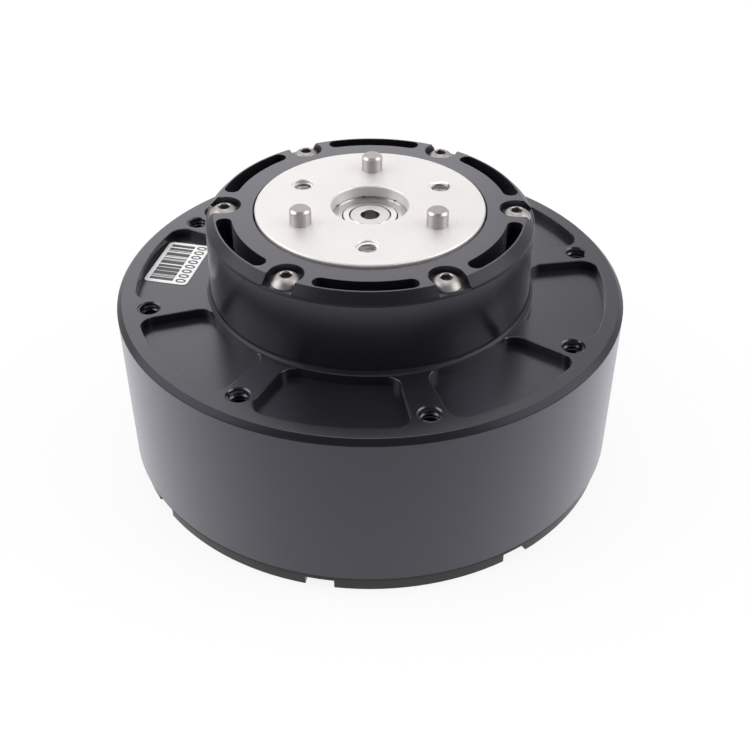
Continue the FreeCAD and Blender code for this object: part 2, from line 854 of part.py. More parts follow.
def output_flange():
    body = turned(
        "output_turning",
        [
            ("nose_bearing_radius", "journal_low"),
            ("journal_radius", "journal_low"),
            ("journal_radius", "clip_low"),
            ("journal_radius - clip_groove_depth", "clip_low"),
            ("journal_radius - clip_groove_depth", "output_bearing_low"),
            ("journal_radius", "output_bearing_low"),
            ("journal_radius", "output_bearing_top"),
            ("journal_radius + disc_shoulder_width", "output_bearing_top"),
            ("journal_radius + disc_shoulder_width", "disc_low"),
            ("disc_radius", "disc_low"),
            ("disc_radius", "disc_top - disc_chamfer"),
            ("disc_radius - disc_chamfer", "disc_top"),
            ("output_bore_radius + disc_chamfer", "disc_top"),
            ("output_bore_radius", "disc_top - disc_chamfer"),
            ("output_bore_radius", "nose_bearing_top"),
            ("nose_bearing_radius", "nose_bearing_top"),
        ],
    )
    pillar = cylinder(
        "pillar",
        "pillar_radius",
        "carrier_top",
        "journal_low + cut_overshoot",
        "pillar_circle_radius",
    )
    pillars = around("pillars", pillar, "planet_count", "30")
    above = "disc_top + cut_overshoot"
    floor = "disc_top - output_hole_depth"
    pin_hole = cylinder("pin_hole", "output_pin_seat", floor, above, "output_pin_circle")
    pin_mouth = cone(
        "pin_mouth",
        "output_pin_seat",
        "output_pin_seat + output_pin_mouth",
        "disc_top - output_pin_mouth",
        "disc_top",
        "output_pin_circle",
    )
    thread = cylinder("output_thread", "output_thread_radius", floor, above, "output_thread_circle")
    thread_mouth = cone(
        "output_thread_mouth",
        "output_thread_radius",
        "output_thread_radius + output_thread_chamfer",
        "disc_top - output_thread_chamfer",
        "disc_top",
        "output_thread_circle",
    )
    axle_hole = cylinder(
        "axle_hole",
        "axle_radius",
        "journal_low - cut_overshoot",
        "journal_low + axle_grip",
        "planet_circle",
    )
    screw_hole = cylinder(
        "pillar_screw_hole",
        "carrier_screw_radius",
        "carrier_top - cut_overshoot",
        "carrier_low + carrier_screw_length",
        "pillar_circle_radius",
    )
    pin_holes = around("pin_holes", fuse("pin_cut", pin_hole, pin_mouth), "planet_count", "90")
    thread_cut = fuse("output_thread_cut", thread, thread_mouth)
    threads = around("output_threads", thread_cut, "planet_count", "30")
    axle_holes = around("axle_holes", axle_hole, "planet_count", "90")
    screw_holes = around("pillar_screw_holes", screw_hole, "planet_count", "30")
    blank = fuse("output_blank", body, pillars)
    return cut("output_flange", blank, pin_holes, threads, axle_holes, screw_holes)


def output_pins():
    """Stepped dowel pins, pressed in by their thinner ends until their shoulders meet the disc."""
    low = "disc_top - output_hole_depth"
    high = "disc_top + output_pin_stand"
    seated = cylinder(
        "pin_seat", "output_pin_seat", low, "disc_top + cut_overshoot", "output_pin_circle"
    )
    shank = cylinder(
        "pin_shank",
        "output_pin_radius",
        "disc_top",
        f"{high} - output_pin_chamfer",
        "output_pin_circle",
    )
    tip = cone(
        "pin_tip",
        "output_pin_radius",
        "output_pin_radius - output_pin_chamfer",
        f"{high} - output_pin_chamfer",
        high,
        "output_pin_circle",
    )
    return around("output_pins", fuse("output_pin", seated, shank, tip), "planet_count", "90")


def carrier_plate():
    plate = tube(
        "carrier_blank",
        "ring_tip - carrier_plate_clearance",
        "sun_tip + shaft_passage_clearance",
        "carrier_low",
        "carrier_top",
    )
    below = "carrier_low - cut_overshoot"
    above = "carrier_top + cut_overshoot"
    axle_hole = cylinder("carrier_axle_hole", "axle_radius", below, above, "planet_circle")
    screw_hole = cylinder(
        "carrier_screw_hole", "carrier_screw_radius", below, above, "pillar_circle_radius"
    )
    sink = cone(
        "carrier_sink",
        "carrier_screw_head_radius",
        "carrier_screw_radius",
        "carrier_low",
        "carrier_low + carrier_screw_head_height",
        "pillar_circle_radius",
    )
    axle_holes = around("carrier_axle_holes", axle_hole, "planet_count", "90")
    screw_holes = around(
        "carrier_screw_holes", fuse("carrier_screw_cut", screw_hole, sink), "planet_count", "30"
    )
    return cut("carrier_plate", plate, axle_holes, screw_holes)


def carrier_screws():
    screw = flat_screw("carrier_screw", "carrier_screw", "carrier_screw_length")
    placed = moved("carrier_screw_placed", screw, "pillar_circle_radius", "0", "carrier_low")
    return around("carrier_screws", placed, "planet_count", "30")


def retaining_ring(name, inner, low):
    """An open ring that sprang into a groove."""
    ring = tube(name + "_ring", f"{inner} + clip_width", inner, low, f"{low} + clip_thickness")
    reach = f"{inner} + clip_width"
    gap = block(
        name + "_gap",
        f"{reach} + cut_overshoot",
        f"min(clip_gap_width; {inner})",
        f"{low} - cut_overshoot",
        f"{low} + clip_thickness + cut_overshoot",
        f"({reach} + cut_overshoot) / 2",
    )
    return cut(name, ring, gap)


def output_bearing():
    parts = bearing(
        "output_bearing",
        "journal_radius",
        "output_bearing_radius",
        "output_bearing_low",
        "output_bearing_width",
        "output_ball_radius",
        "output_ball_count",
        "race_gap",
    )
    circle = "(journal_radius + output_bearing_radius) / 2"
    inner = f"{circle} - race_gap + seal_clearance"
    outer = f"{circle} + race_gap"
    top = "output_bearing_top - seal_setback"
    upper = tube("upper_seal", outer, inner, f"{top} - seal_thickness", top)
    base = "output_bearing_low + seal_setback"
    lower = tube("lower_seal", outer, inner, base, f"{base} + seal_thickness")
    return [*parts, group("output_bearing_seals", upper, lower)]


def nose_bearing():
    parts = bearing(
        "nose_bearing",
        "nose_bearing_bore_radius",
        "nose_bearing_radius",
        "nose_bearing_low",
        "nose_bearing_width",
        "nose_ball_radius",
        "nose_ball_count",
        "nose_race_gap",
    )
    circle = "(nose_bearing_bore_radius + nose_bearing_radius) / 2"
    top = "nose_bearing_top - seal_setback"
    shield = tube(
        "nose_bearing_shield",
        f"{circle} + nose_race_gap",
        f"{circle} - nose_race_gap + nose_shield_gap",
        f"{top} - seal_thickness",
        top,
    )
    return [*parts, shield]


def rear_bearing():
    return bearing(
        "rear_bearing",
        "rear_bearing_bore_radius",
        "rear_bearing_radius",
        "rear_bearing_low",
        "rear_bearing_width",
        "rear_ball_radius",
        "rear_ball_count",
        "rear_race_gap",
    )


# Rotor.


def sun_gear_shaft():
    """Rear journal, rotor flange, sun teeth and nose journal, in one piece."""
    rear_groove = "rear_bearing_bore_radius - shaft_groove_depth"
    shoulder = "rear_bearing_bore_radius + shaft_shoulder"
    collar = "nose_bearing_bore_radius + nose_collar"
    core = "sun_pitch - 2 * gear_module"
    body = turned(
        "shaft_turning",
        [
            ("0", "shaft_low"),
            ("rear_bearing_bore_radius", "shaft_low"),
            ("rear_bearing_bore_radius", "shaft_clip_low"),
            (rear_groove, "shaft_clip_low"),
            (rear_groove, "rear_bearing_low"),
            ("rear_bearing_bore_radius", "rear_bearing_low"),
            ("rear_bearing_bore_radius", "rear_bearing_top"),
            (shoulder, "rear_bearing_top"),
            (shoulder, "shaft_flange_low"),
            ("shaft_flange_radius", "shaft_flange_low"),
            ("shaft_flange_radius", "bell_low"),
            ("sun_tip", "bell_low"),
            ("sun_tip", "carrier_top"),
            (core, "carrier_top"),
            (core, "journal_low"),
            (collar, "journal_low"),
            (collar, "nose_bearing_low"),
            ("nose_bearing_bore_radius", "nose_bearing_low"),
            ("nose_bearing_bore_radius", "nose_bearing_top - shaft_chamfer"),
            ("nose_bearing_bore_radius - shaft_chamfer", "nose_bearing_top"),
            ("centre_hole_radius", "nose_bearing_top"),
            ("centre_hole_radius", "nose_bearing_top - centre_hole_depth"),
            ("0", "nose_bearing_top - centre_hole_depth"),
        ],
    )
    width = value("journal_low - carrier_top")
    teeth = round(value("sun_teeth"))
    gear = outer_gear(value("sun_pitch"), teeth, width, math.radians(90))
    sun = made("sun_gear", gear, "carrier_top")
    tap = cylinder(
        "shaft_tap",
        "carrier_screw_radius",
        "shaft_flange_low - cut_overshoot",
        "bell_low + cut_overshoot",
        "rotor_screw_circle_radius",
    )
    taps = around("shaft_taps", tap, "rotor_screw_count")
    return cut("sun_gear_shaft", fuse("shaft_blank", body, sun), taps)


def rotor_bell():
    body = turned(
        "bell_turning",
        [
            ("sun_tip", "bell_low"),
            ("magnet_outer", "bell_low"),
            ("magnet_outer", "skirt_low"),
            ("bell_radius", "skirt_low"),
            ("bell_radius", "bell_top"),
            ("sun_tip", "bell_top"),
        ],
    )
    below = "bell_low - cut_overshoot"
    above = "bell_top + cut_overshoot"
    window = cylinder(
        "bell_window", "bell_window_radius", below, above, "bell_window_circle_radius"
    )
    screw_hole = cylinder(
        "bell_screw_hole", "carrier_screw_radius", below, above, "rotor_screw_circle_radius"
    )
    sink = cone(
        "bell_sink",
        "carrier_screw_radius",
        "carrier_screw_head_radius",
        "bell_top - carrier_screw_head_height",
        "bell_top",
        "rotor_screw_circle_radius",
    )
    windows = around("bell_windows", window, "bell_window_count")
    screw_holes = around(
        "bell_screw_holes", fuse("bell_screw_cut", screw_hole, sink), "rotor_screw_count"
    )
    return cut("rotor_bell", body, windows, screw_holes)


def rotor_screws():
    """Countersunk screws that come down through the bell into the shaft's flange."""
    screw = flat_screw("rotor_screw", "carrier_screw", "rotor_screw_length")
    hung = doc.addObject("App::Link", "rotor_screw_hung")
    hung.LinkedObject = screw
    hung.Placement = Placement(Vector(), Rotation(Vector(1, 0, 0), 180))
    bind(hung, _base_x="rotor_screw_circle_radius", _base_z="bell_top")
    return around("rotor_screws", group("rotor_screw_placed", hung), "rotor_screw_count")


def rotor_magnets():
    low = "skirt_low + magnet_skirt_setback"
    span = "360 / magnet_count - magnet_spacing_angle"
    magnet = sector("magnet", "magnet_inner", "magnet_outer", span, low, f"{low} + magnet_height")
    return around("rotor_magnets", magnet, "magnet_count")


# Stator.


def stator_core():
    """Laminated ring with outward teeth that widen at their tips."""
    count = round(value("stator_tooth_count"))
    yoke = value("yoke_radius")
    width = value("stator_tooth_half_width")
    rim = value("stator_radius")
    tip_base = value("stator_tip_base")
    tip = math.radians(value("stator_tip_half_angle"))
    neck = value("stator_tip_base - stator_tip_slope")
    root = math.asin(width / yoke)
    shoulder = math.asin(width / neck)
    edges = []
    for number in range(count):
        centre = 2 * math.pi * number / count
        side = [(yoke, root), (neck, shoulder), (tip_base, tip), (rim, tip)]
        up = [polar(radius, centre - angle) for radius, angle in side]
        down = [polar(radius, centre + angle) for radius, angle in reversed(side)]
        edges += [Part.LineSegment(a, b).toShape() for a, b in zip(up, up[1:])]
        edges.append(arc(rim, centre - tip, centre + tip))
        edges += [Part.LineSegment(a, b).toShape() for a, b in zip(down, down[1:])]
        edges.append(arc(yoke, centre + root, centre + 2 * math.pi / count - root))
    height = value("stator_height")
    blank = Part.Face(Part.Wire(edges)).extrude(Vector(0, 0, height))
    core = blank.cut(Part.makeCylinder(value("stator_bore"), height))
    return made("stator_core", core, "stator_low")


def stator_windings():
    """One coil round each tooth, tapered to the slot."""
    height = value("winding_top - winding_low")
    first = value("yoke_radius + winding_end_gap")
    last = value("stator_tip_base - stator_tip_slope - winding_end_gap")
    slot = math.tan(math.pi / value("stator_tooth_count"))
    gap = value("winding_side_gap")
    corners = [
        Vector(first, -(first * slot - gap), 0),
        Vector(last, -(last * slot - gap), 0),
        Vector(last, last * slot - gap, 0),
        Vector(first, first * slot - gap, 0),
    ]
    block_of_wire = Part.Face(Part.makePolygon([*corners, corners[0]]))
    coil = block_of_wire.extrude(Vector(0, 0, height))
    width = value("stator_tooth_half_width")
    tooth = Part.makeBox(
        last - first + 2,
        2 * width,
        value("stator_height"),
        Vector(first - 1, -width, value("winding_overhang")),
    )
    one_coil = made("coil", coil.cut(tooth), "winding_low")
    return around("stator_windings", one_coil, "stator_tooth_count")


def phase_leads():
    lead = cylinder("lead", "lead_radius", "board_top", "winding_low", "lead_circle")
    return around("phase_leads", lead, "lead_count")


def stator_mount():
    shoulder = "stator_bore + mount_shoulder"
    boss_top = "stator_top + mount_boss_stand"
    shaft_hole = "rear_bearing_radius - rear_shoulder"
    body = turned(
        "mount_turning",
        [
            (shaft_hole, "mount_low"),
            ("mount_radius", "mount_low"),
            ("mount_radius", "mount_top"),
            (shoulder, "mount_top"),
            (shoulder, "stator_low"),
            ("stator_bore", "stator_low"),
            ("stator_bore", boss_top),
            ("rear_bearing_radius", boss_top),
            ("rear_bearing_radius", "rear_bearing_low"),
            (shaft_hole, "rear_bearing_low"),
        ],
    )
    standoff = cylinder(
        "standoff",
        "standoff_radius",
        "board_top",
        "mount_low + cut_overshoot",
        "board_screw_circle",
    )
    standoffs = around("standoffs", standoff, "board_screw_count", "45")
    lead_hole = cylinder(
        "lead_hole",
        "lead_radius + lead_hole_clearance",
        "mount_low - cut_overshoot",
        "mount_top + cut_overshoot",
        "lead_circle",
    )
    tap = cylinder(
        "board_tap",
        "board_screw_radius",
        "board_top - cut_overshoot",
        "board_low + board_screw_length",
        "board_screw_circle",
    )
    lead_holes = around("lead_holes", lead_hole, "lead_count")
    taps = around("board_taps", tap, "board_screw_count", "45")
    return cut("stator_mount", fuse("mount_blank", body, standoffs), lead_holes, taps)


# Rear cover, driver board and sockets.


def rear_cover():
    body = turned(
        "cover_turning",
        [
            ("0", "0"),
            ("cover_radius", "0"),
            ("cover_radius", "cover_rim_height - cover_groove"),
            ("cover_radius - cover_groove", "cover_rim_height"),
            ("mount_radius", "cover_rim_height"),
            ("mount_radius", "mount_low"),
            ("cover_spigot_inner", "mount_low"),
            ("cover_spigot_inner", "cover_plate_thickness"),
            ("0", "cover_plate_thickness"),
        ],
    )
    below = "-cut_overshoot"
    hole = cylinder(
        "cover_screw_hole",
        "cover_screw_radius + screw_clearance",
        below,
        "cover_rim_height + cut_overshoot",
        "cover_screw_circle",
    )
    seat = cylinder(
        "cover_notch_end", "cover_notch_width / 2", below, "cover_notch_depth", "cover_screw_circle"
    )
    way_out = block(
        "cover_notch_way",
        "cover_screw_inset + cut_overshoot",
        "cover_notch_width",
        below,
        "cover_notch_depth",
        "cover_screw_circle + (cover_screw_inset + cut_overshoot) / 2",
    )
    sink = cone(
        "cover_screw_sink",
        "cover_screw_head_radius",
        "cover_screw_radius",
        "cover_notch_depth",
        "cover_notch_depth + cover_screw_head_height",
        "cover_screw_circle",
    )
    notch = fuse("cover_notch", hole, sink, seat, way_out)
    notches = around("cover_notches", notch, "cover_screw_count", "cover_screw_first_angle")
    inside = "cover_plate_thickness + cut_overshoot"
    power = block(
        "power_window",
        "power_socket_length + 2 * socket_clearance",
        "power_socket_width + 2 * socket_clearance",
        below,
        inside,
        "0",
        "socket_circle",
    )
    signals = [
        block(
            f"signal_window_{number}",
            "signal_socket_length + 2 * socket_clearance",
            "signal_socket_width + 2 * socket_clearance",
            below,
            inside,
            f"{side} * signal_socket_offset",
            "-socket_circle",
        )
        for number, side in enumerate((-1, 1), 1)
    ]
    return cut("rear_cover", body, notches, power, *signals)


def cover_screws():
    """Countersunk screws that go up from the rear, with their heads flush in the notch floors."""
    screw = flat_screw("cover_screw", "cover_screw", "cover_screw_length")
    placed = moved("cover_screw_placed", screw, "cover_screw_circle", "0", "cover_notch_depth")
    return around("cover_screws", placed, "cover_screw_count", "cover_screw_first_angle")


def driver_board():
    plate = cylinder("board_plate", "board_radius", "board_low", "board_top")
    hole = cylinder(
        "board_hole",
        "board_screw_radius + screw_clearance",
        "board_low - cut_overshoot",
        "board_top + cut_overshoot",
        "board_screw_circle",
    )
    return cut("driver_board", plate, around("board_holes", hole, "board_screw_count", "45"))


def board_screws():
    head = cylinder(
        "board_screw_head",
        "board_screw_head_radius",
        "board_low - board_screw_head_height",
        "board_low",
        "board_screw_circle",
    )
    shank = cylinder(
        "board_screw_shank",
        "board_screw_radius",
        "board_low",
        "board_low + board_screw_length",
        "board_screw_circle",
    )
    screw = fuse("board_screw", head, shank)
    return around("board_screws", screw, "board_screw_count", "45")


def encoder_magnet():
    low = "shaft_low - encoder_magnet_thickness"
    return cylinder("encoder_magnet", "encoder_magnet_radius", low, "shaft_low")


def encoder_chip():
    high = "board_top + encoder_chip_thickness"
    return block("encoder_chip", "encoder_chip_side", "encoder_chip_side", "board_top", high)


def controller_chip():
    low = "board_low - controller_thickness"
    return block("controller_chip", "controller_side", "controller_side", low, "board_low")


def power_transistors():
    transistor = block(
        "transistor",
        "transistor_length",
        "transistor_width",
        "board_low - transistor_thickness",
        "board_low",
        "transistor_circle",
    )
    return around("power_transistors", transistor, "transistor_count", "180 / transistor_count")


def capacitors():
    capacitor = cylinder(
        "capacitor",
        "capacitor_radius",
        "board_low - capacitor_thickness",
        "board_low",
        "capacitor_circle",
    )
    return around("capacitors", capacitor, "capacitor_count", "180 / capacitor_count")


def power_socket():
    shell = block(
        "power_shell",
        "power_socket_length",
        "power_socket_width",
        "socket_recess",
        "board_low",
        "0",
        "socket_circle",
    )
    mouths = []
    pins = []
    for number, side in enumerate((-1, 1), 1):
        across = f"{side} * power_pin_spacing / 2"
        mouth = cylinder(
            f"power_mouth_{number}",
            "power_hole_radius",
            "socket_recess - cut_overshoot",
            "socket_recess + socket_depth",
            across,
            "socket_circle",
        )
        pin = cylinder(
            f"power_pin_{number}",
            "power_pin_radius",
            "socket_recess + socket_depth - socket_pin_length",
            "socket_recess + socket_depth",
            across,
            "socket_circle",
        )
        mouths.append(mouth)
        pins.append(pin)
    return cut("power_socket", shell, *mouths), group("power_contacts", *pins)


def signal_sockets():
    shells = []
    pins = []
    for number, side in enumerate((-1, 1), 1):
        centre = f"{side} * signal_socket_offset"
        shell = block(
            f"signal_shell_{number}",
            "signal_socket_length",
            "signal_socket_width",
            "socket_recess",
            "board_low",
            centre,
            "-socket_circle",
        )
        mouth = block(
            f"signal_mouth_{number}",
            "signal_socket_length - 2 * signal_socket_wall",
            "signal_socket_width - 2 * signal_socket_wall",
            "socket_recess - cut_overshoot",
            "socket_recess + socket_depth",
            centre,
            "-socket_circle",
        )
        shells.append(cut(f"signal_socket_{number}", shell, mouth))
        for place in range(round(value("signal_pin_count"))):
            offset = f"({place} - (signal_pin_count - 1) / 2) * signal_pin_pitch"
            pin = block(
                f"signal_pin_{number}_{place + 1}",
                "signal_pin_side",
                "signal_pin_side",
                "socket_recess + socket_depth - socket_pin_length",
                "socket_recess + socket_depth",
                f"{centre} + {offset}",
                "-socket_circle",
            )
            pins.append(pin)
    return group("signal_sockets", *shells), group("signal_contacts", *pins)


def serial_label():
    floor = "flange_top - pocket_depth"
    label = block(
        "label",
        "label_width",
        "label_length",
        floor,
        f"{floor} + label_thickness",
        "label_circle",
    )
    return around("serial_label", label, "1", "label_angle")


def build():
    output_inner, output_outer, output_balls, output_cage, seals = output_bearing()
    nose_inner, nose_outer, nose_balls, nose_cage, shield = nose_bearing()
    rear_inner, rear_outer, rear_balls, rear_cage = rear_bearing()
    socket, contacts = power_socket()
    sockets, signal_contacts = signal_sockets()
    shaft_clip = retaining_ring(
        "shaft_retaining_ring", "rear_bearing_bore_radius - shaft_groove_depth", "shaft_clip_low"
    )
    output_clip = retaining_ring(
        "output_retaining_ring", "journal_radius - clip_groove_depth", "clip_low"
    )
    housing = [front_housing(), neck_screws(), ring_gear(), output_outer, seals, serial_label()]
    motor = [stator_mount(), stator_core(), stator_windings(), phase_leads(), rear_outer]
    rear = [rear_cover(), cover_screws(), driver_board(), board_screws(), encoder_chip()]
    board = [controller_chip(), power_transistors(), capacitors(), socket, contacts]
    output = [output_flange(), output_pins(), output_inner, output_clip, nose_outer, shield]
    carrier = [carrier_plate(), carrier_screws(), planet_axles(), planet_washers()]
    rotor = [sun_gear_shaft(), rotor_bell(), rotor_magnets(), rotor_screws(), shaft_clip]
    rotor += [nose_inner, rear_inner, encoder_magnet()]
    cages = [output_balls, output_cage, nose_balls, nose_cage, rear_balls, rear_cage]
    fixed = [*housing, *motor, *rear, *board, sockets, signal_contacts]
    return [*fixed, *output, *carrier, *planet_gears(), *rotor, *cages]


def check(subparts):
    """Stops before anything is written if an object or a shape is broken."""
    for item in doc.Objects:
        if "Invalid" in item.State or "Error" in item.State:
            raise RuntimeError(f"{item.Name} failed: {item.State}")
    for item in subparts:
        if item.Shape.isNull() or not item.Shape.isValid() or not item.Shape.Solids:
            raise RuntimeError(f"{item.Name} has no sound shape")


subparts = build()
for item in subparts:
    item.Label = item.Name
doc.recompute()
check(subparts)
os.makedirs("parts", exist_ok=True)
for item in subparts:
    item.Shape.exportStep(f"parts/{item.Label}.step")
    print(item.Label, len(item.Shape.Solids), round(item.Shape.Volume, 2))
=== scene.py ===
# Robot joint actuator: finishes, threads, screws, label, light and camera round the model.
# Lengths are metres unless a note says otherwise.
import json
import math
import random

import bmesh
import bpy
from mathutils import Matrix, Vector


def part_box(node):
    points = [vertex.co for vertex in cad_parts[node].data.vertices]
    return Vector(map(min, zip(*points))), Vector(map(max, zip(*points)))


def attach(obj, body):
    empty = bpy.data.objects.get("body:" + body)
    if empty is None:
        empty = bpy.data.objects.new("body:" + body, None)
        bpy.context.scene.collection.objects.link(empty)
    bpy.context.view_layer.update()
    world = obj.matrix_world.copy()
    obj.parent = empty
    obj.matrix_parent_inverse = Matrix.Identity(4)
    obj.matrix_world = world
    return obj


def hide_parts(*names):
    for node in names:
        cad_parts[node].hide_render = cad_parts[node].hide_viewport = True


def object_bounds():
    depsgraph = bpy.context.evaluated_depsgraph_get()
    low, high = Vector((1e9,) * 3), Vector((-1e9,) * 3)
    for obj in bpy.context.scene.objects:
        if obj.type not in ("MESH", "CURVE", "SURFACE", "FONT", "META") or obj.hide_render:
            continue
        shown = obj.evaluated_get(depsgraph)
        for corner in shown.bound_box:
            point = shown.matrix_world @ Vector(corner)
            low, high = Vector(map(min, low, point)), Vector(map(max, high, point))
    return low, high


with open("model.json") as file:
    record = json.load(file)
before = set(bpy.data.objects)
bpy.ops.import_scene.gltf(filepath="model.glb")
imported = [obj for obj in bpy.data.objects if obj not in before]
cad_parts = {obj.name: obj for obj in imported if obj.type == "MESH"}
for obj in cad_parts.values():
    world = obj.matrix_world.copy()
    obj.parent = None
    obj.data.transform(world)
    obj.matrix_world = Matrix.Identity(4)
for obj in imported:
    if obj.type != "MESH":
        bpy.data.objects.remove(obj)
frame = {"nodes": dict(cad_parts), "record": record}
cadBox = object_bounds()
nodes = frame["nodes"]
mm = 0.001
print("frame loaded:", len(nodes), "nodes")


def mountOf(name):
    return next(m for m in frame["record"]["mounts"] if m["name"] == name)


flangeHoles = mountOf("front_mounting_holes")
outputHoles = mountOf("output_threads")
centringBore = mountOf("output_centring_bore")
flangeTop = flangeHoles["pos_m"][2]
discTop = outputHoles["pos_m"][2]
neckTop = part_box("front_housing")[1].z


class Signal:  # one socket, so that shader and geometry maths read as sums
    def __init__(self, tree, socket):
        self.tree = tree
        self.socket = socket

    def calc(self, operation, first, second=0.0):
        maths = self.tree.nodes.new("ShaderNodeMath")
        maths.operation = operation
        plug(self.tree, maths.inputs[0], first)
        plug(self.tree, maths.inputs[1], second)
        return Signal(self.tree, maths.outputs[0])

    def __add__(self, other):
        return self.calc("ADD", self, other)

    def __radd__(self, other):
        return self.calc("ADD", other, self)

    def __sub__(self, other):
        return self.calc("SUBTRACT", self, other)

    def __rsub__(self, other):
        return self.calc("SUBTRACT", other, self)

    def __mul__(self, other):
        return self.calc("MULTIPLY", self, other)

    def __truediv__(self, other):
        return self.calc("DIVIDE", self, other)

    def __pow__(self, other):
        return self.calc("POWER", self, other)

    def __gt__(self, other):
        return self.calc("GREATER_THAN", self, other)

    def __lt__(self, other):
        return self.calc("LESS_THAN", self, other)

    def clamped(self):
        held = self.calc("ADD", self, 0.0)
        held.socket.node.use_clamp = True
        return held


def plug(tree, socket, value):
    if isinstance(value, Signal):
        tree.links.new(value.socket, socket)
    elif value is not None:
        socket.default_value = value


def addNode(tree, kind, settings=None, sockets=None, output=0):
    made = tree.nodes.new(kind)
    for name, value in (settings or {}).items():
        setattr(made, name, value)
    for name, value in (sockets or {}).items():
        plug(tree, made.inputs[name], value)
    return Signal(tree, made.outputs[output]) if len(made.outputs) else None


def emptyTree(owner):
    owner.use_nodes = True
    owner.node_tree.nodes.clear()
    return owner.node_tree


class Finish:  # one procedural material on the piece's own coordinates
    def __init__(self, name):
        self.material = bpy.data.materials.new(name)
        self.tree = emptyTree(self.material)
        self.place = self.add("ShaderNodeTexCoord", output="Object")
        split = self.add("ShaderNodeSeparateXYZ", sockets={"Vector": self.place})
        axes = split.socket.node.outputs
        self.x, self.y, self.z = (Signal(self.tree, axes[number]) for number in range(3))
        self.radius = (self.x * self.x + self.y * self.y) ** 0.5

    def add(self, kind, settings=None, sockets=None, output=0):
        return addNode(self.tree, kind, settings, sockets, output)

    def noise(self, scale, detail):
        sockets = {"Vector": self.place, "Scale": scale, "Detail": detail}
        return self.add("ShaderNodeTexNoise", {}, sockets)

    def rings(self, perMetre, along=None):  # fine lines at steps of the radius, or of a length
        sockets = {"W": (along or self.radius) * perMetre, "Scale": 1.0, "Detail": 1.0}
        return self.add("ShaderNodeTexNoise", {"noise_dimensions": "1D"}, sockets)

    def mixColours(self, mask, first, second):
        sockets = {0: mask, 6: first, 7: second}  # factor and the two colour sockets
        return self.add("ShaderNodeMix", {"data_type": "RGBA"}, sockets, 2)

    def bump(self, height, strength, distance):
        sockets = {"Height": height, "Strength": strength, "Distance": distance}
        return self.add("ShaderNodeBump", {}, sockets)

    def finish(self, sockets):
        shader = self.add("ShaderNodeBsdfPrincipled", {}, sockets)
        self.add("ShaderNodeOutputMaterial", {}, {"Surface": shader})
        return self.material


def opaque(colour, share=1.0):
    return tuple(value * share for value in colour) + (1.0,)


def grey(level):
    return opaque((level, level, level))


# black anodising: the two shades it drifts between, its sheen and gloss, and how many of its
# clouds, grains and tool lines there are to a metre
anodised = {
    "dark": (0.0068, 0.0067, 0.0088),
    "light": (0.0098, 0.0096, 0.0122),
    "tint": (0.9, 0.865, 1.0),
    "haze": 0.35,
    "hazeSpread": 0.25,
    "index": 1.62,
    "roughness": 0.25,
    "cloud": 38.0,
    "cloudGloss": 0.05,
    "lines": 2600.0,
    "lineGloss": 0.03,
    "lineRelief": 0.25,
    "grain": 5200.0,
    "grainDepth": 0.000004,
}
coverBlack = {
    **anodised,
    "dark": (0.0085, 0.0085, 0.0088),
    "light": (0.012, 0.012, 0.0125),
    "tint": (1.0, 1.0, 1.0),
    "haze": 0.0,
    "index": 1.45,
    "roughness": 0.3,
}
# a less reflective copy of the anodising, put on the chamfers and the neck root as painted shade
edgeBlack = {**anodised, "haze": 0.0, "index": 1.3, "roughness": 0.32}
sleeveBlack = {**anodised, "haze": 0.5, "hazeSpread": 0.5, "index": 1.45}  # matt from blasting


def anodisedFinish(name, look):
    f = Finish(name)
    cloud = f.noise(look["cloud"], 3.0)
    grain = f.noise(look["grain"], 1.0)
    lines = f.rings(look["lines"])
    uneven = (cloud - 0.5) * look["cloudGloss"]
    roughness = look["roughness"] + uneven + (lines - 0.5) * look["lineGloss"]
    return f.finish(
        {
            "Base Color": f.mixColours(cloud, opaque(look["dark"]), opaque(look["light"])),
            "Metallic": 0.0,
            "Roughness": roughness,
            "IOR": look["index"],
            "Specular Tint": opaque(look["tint"]),
            "Sheen Weight": look["haze"],
            "Sheen Roughness": look["hazeSpread"],
            "Sheen Tint": opaque(look["tint"]),
            "Normal": f.bump(grain + lines * look["lineRelief"], 0.3, look["grainDepth"]),
        }
    )


# the output disc: bead-blasted on its faces, turned in its bore
blasted = {
    "face": (0.665, 0.645, 0.64),
    "shade": (0.565, 0.545, 0.54),
    "bore": (0.60, 0.58, 0.575),
    "metal": 0.7,
    "boreMetal": 0.15,
    "roughness": 0.55,
    "boreRoughness": 0.3,
    "cloud": 60.0,
    "cloudShare": 0.4,
    "grain": 3000.0,
    "grainShare": 0.6,
    "grainGloss": 0.12,
    "grainDepth": 0.00002,
    "contrast": 2.5,
    "darkest": 0.3,
    "boreLines": 9000.0,
    "boreRelief": 0.3,
    "boreRadius": centringBore["dims"]["r_mm"] * mm + 0.4 * mm,
    "boreTop": discTop - 0.1 * mm,
}


def blastedFinish(name, look):
    f = Finish(name)
    cloud = f.noise(look["cloud"], 4.0)
    grain = f.noise(look["grain"], 2.0)
    turned = f.rings(look["boreLines"], f.z)
    inBore = (f.radius < look["boreRadius"]) * (f.z < look["boreTop"])
    mottle = cloud * look["cloudShare"] + grain * look["grainShare"]
    speckle = (mottle - look["darkest"]) * look["contrast"]
    face = f.mixColours(speckle, opaque(look["shade"]), opaque(look["face"]))
    colour = f.mixColours(inBore, face, opaque(look["bore"]))
    smoother = inBore * (look["boreRoughness"] - look["roughness"])
    roughness = look["roughness"] + smoother + (grain - 0.5) * look["grainGloss"]
    relief = grain * (1.0 - inBore) + turned * inBore * look["boreRelief"]
    return f.finish(
        {
            "Base Color": colour,
            "Metallic": look["metal"] + inBore * (look["boreMetal"] - look["metal"]),
            "Roughness": roughness,
            "Normal": f.bump(relief, 0.5, look["grainDepth"]),
        }
    )
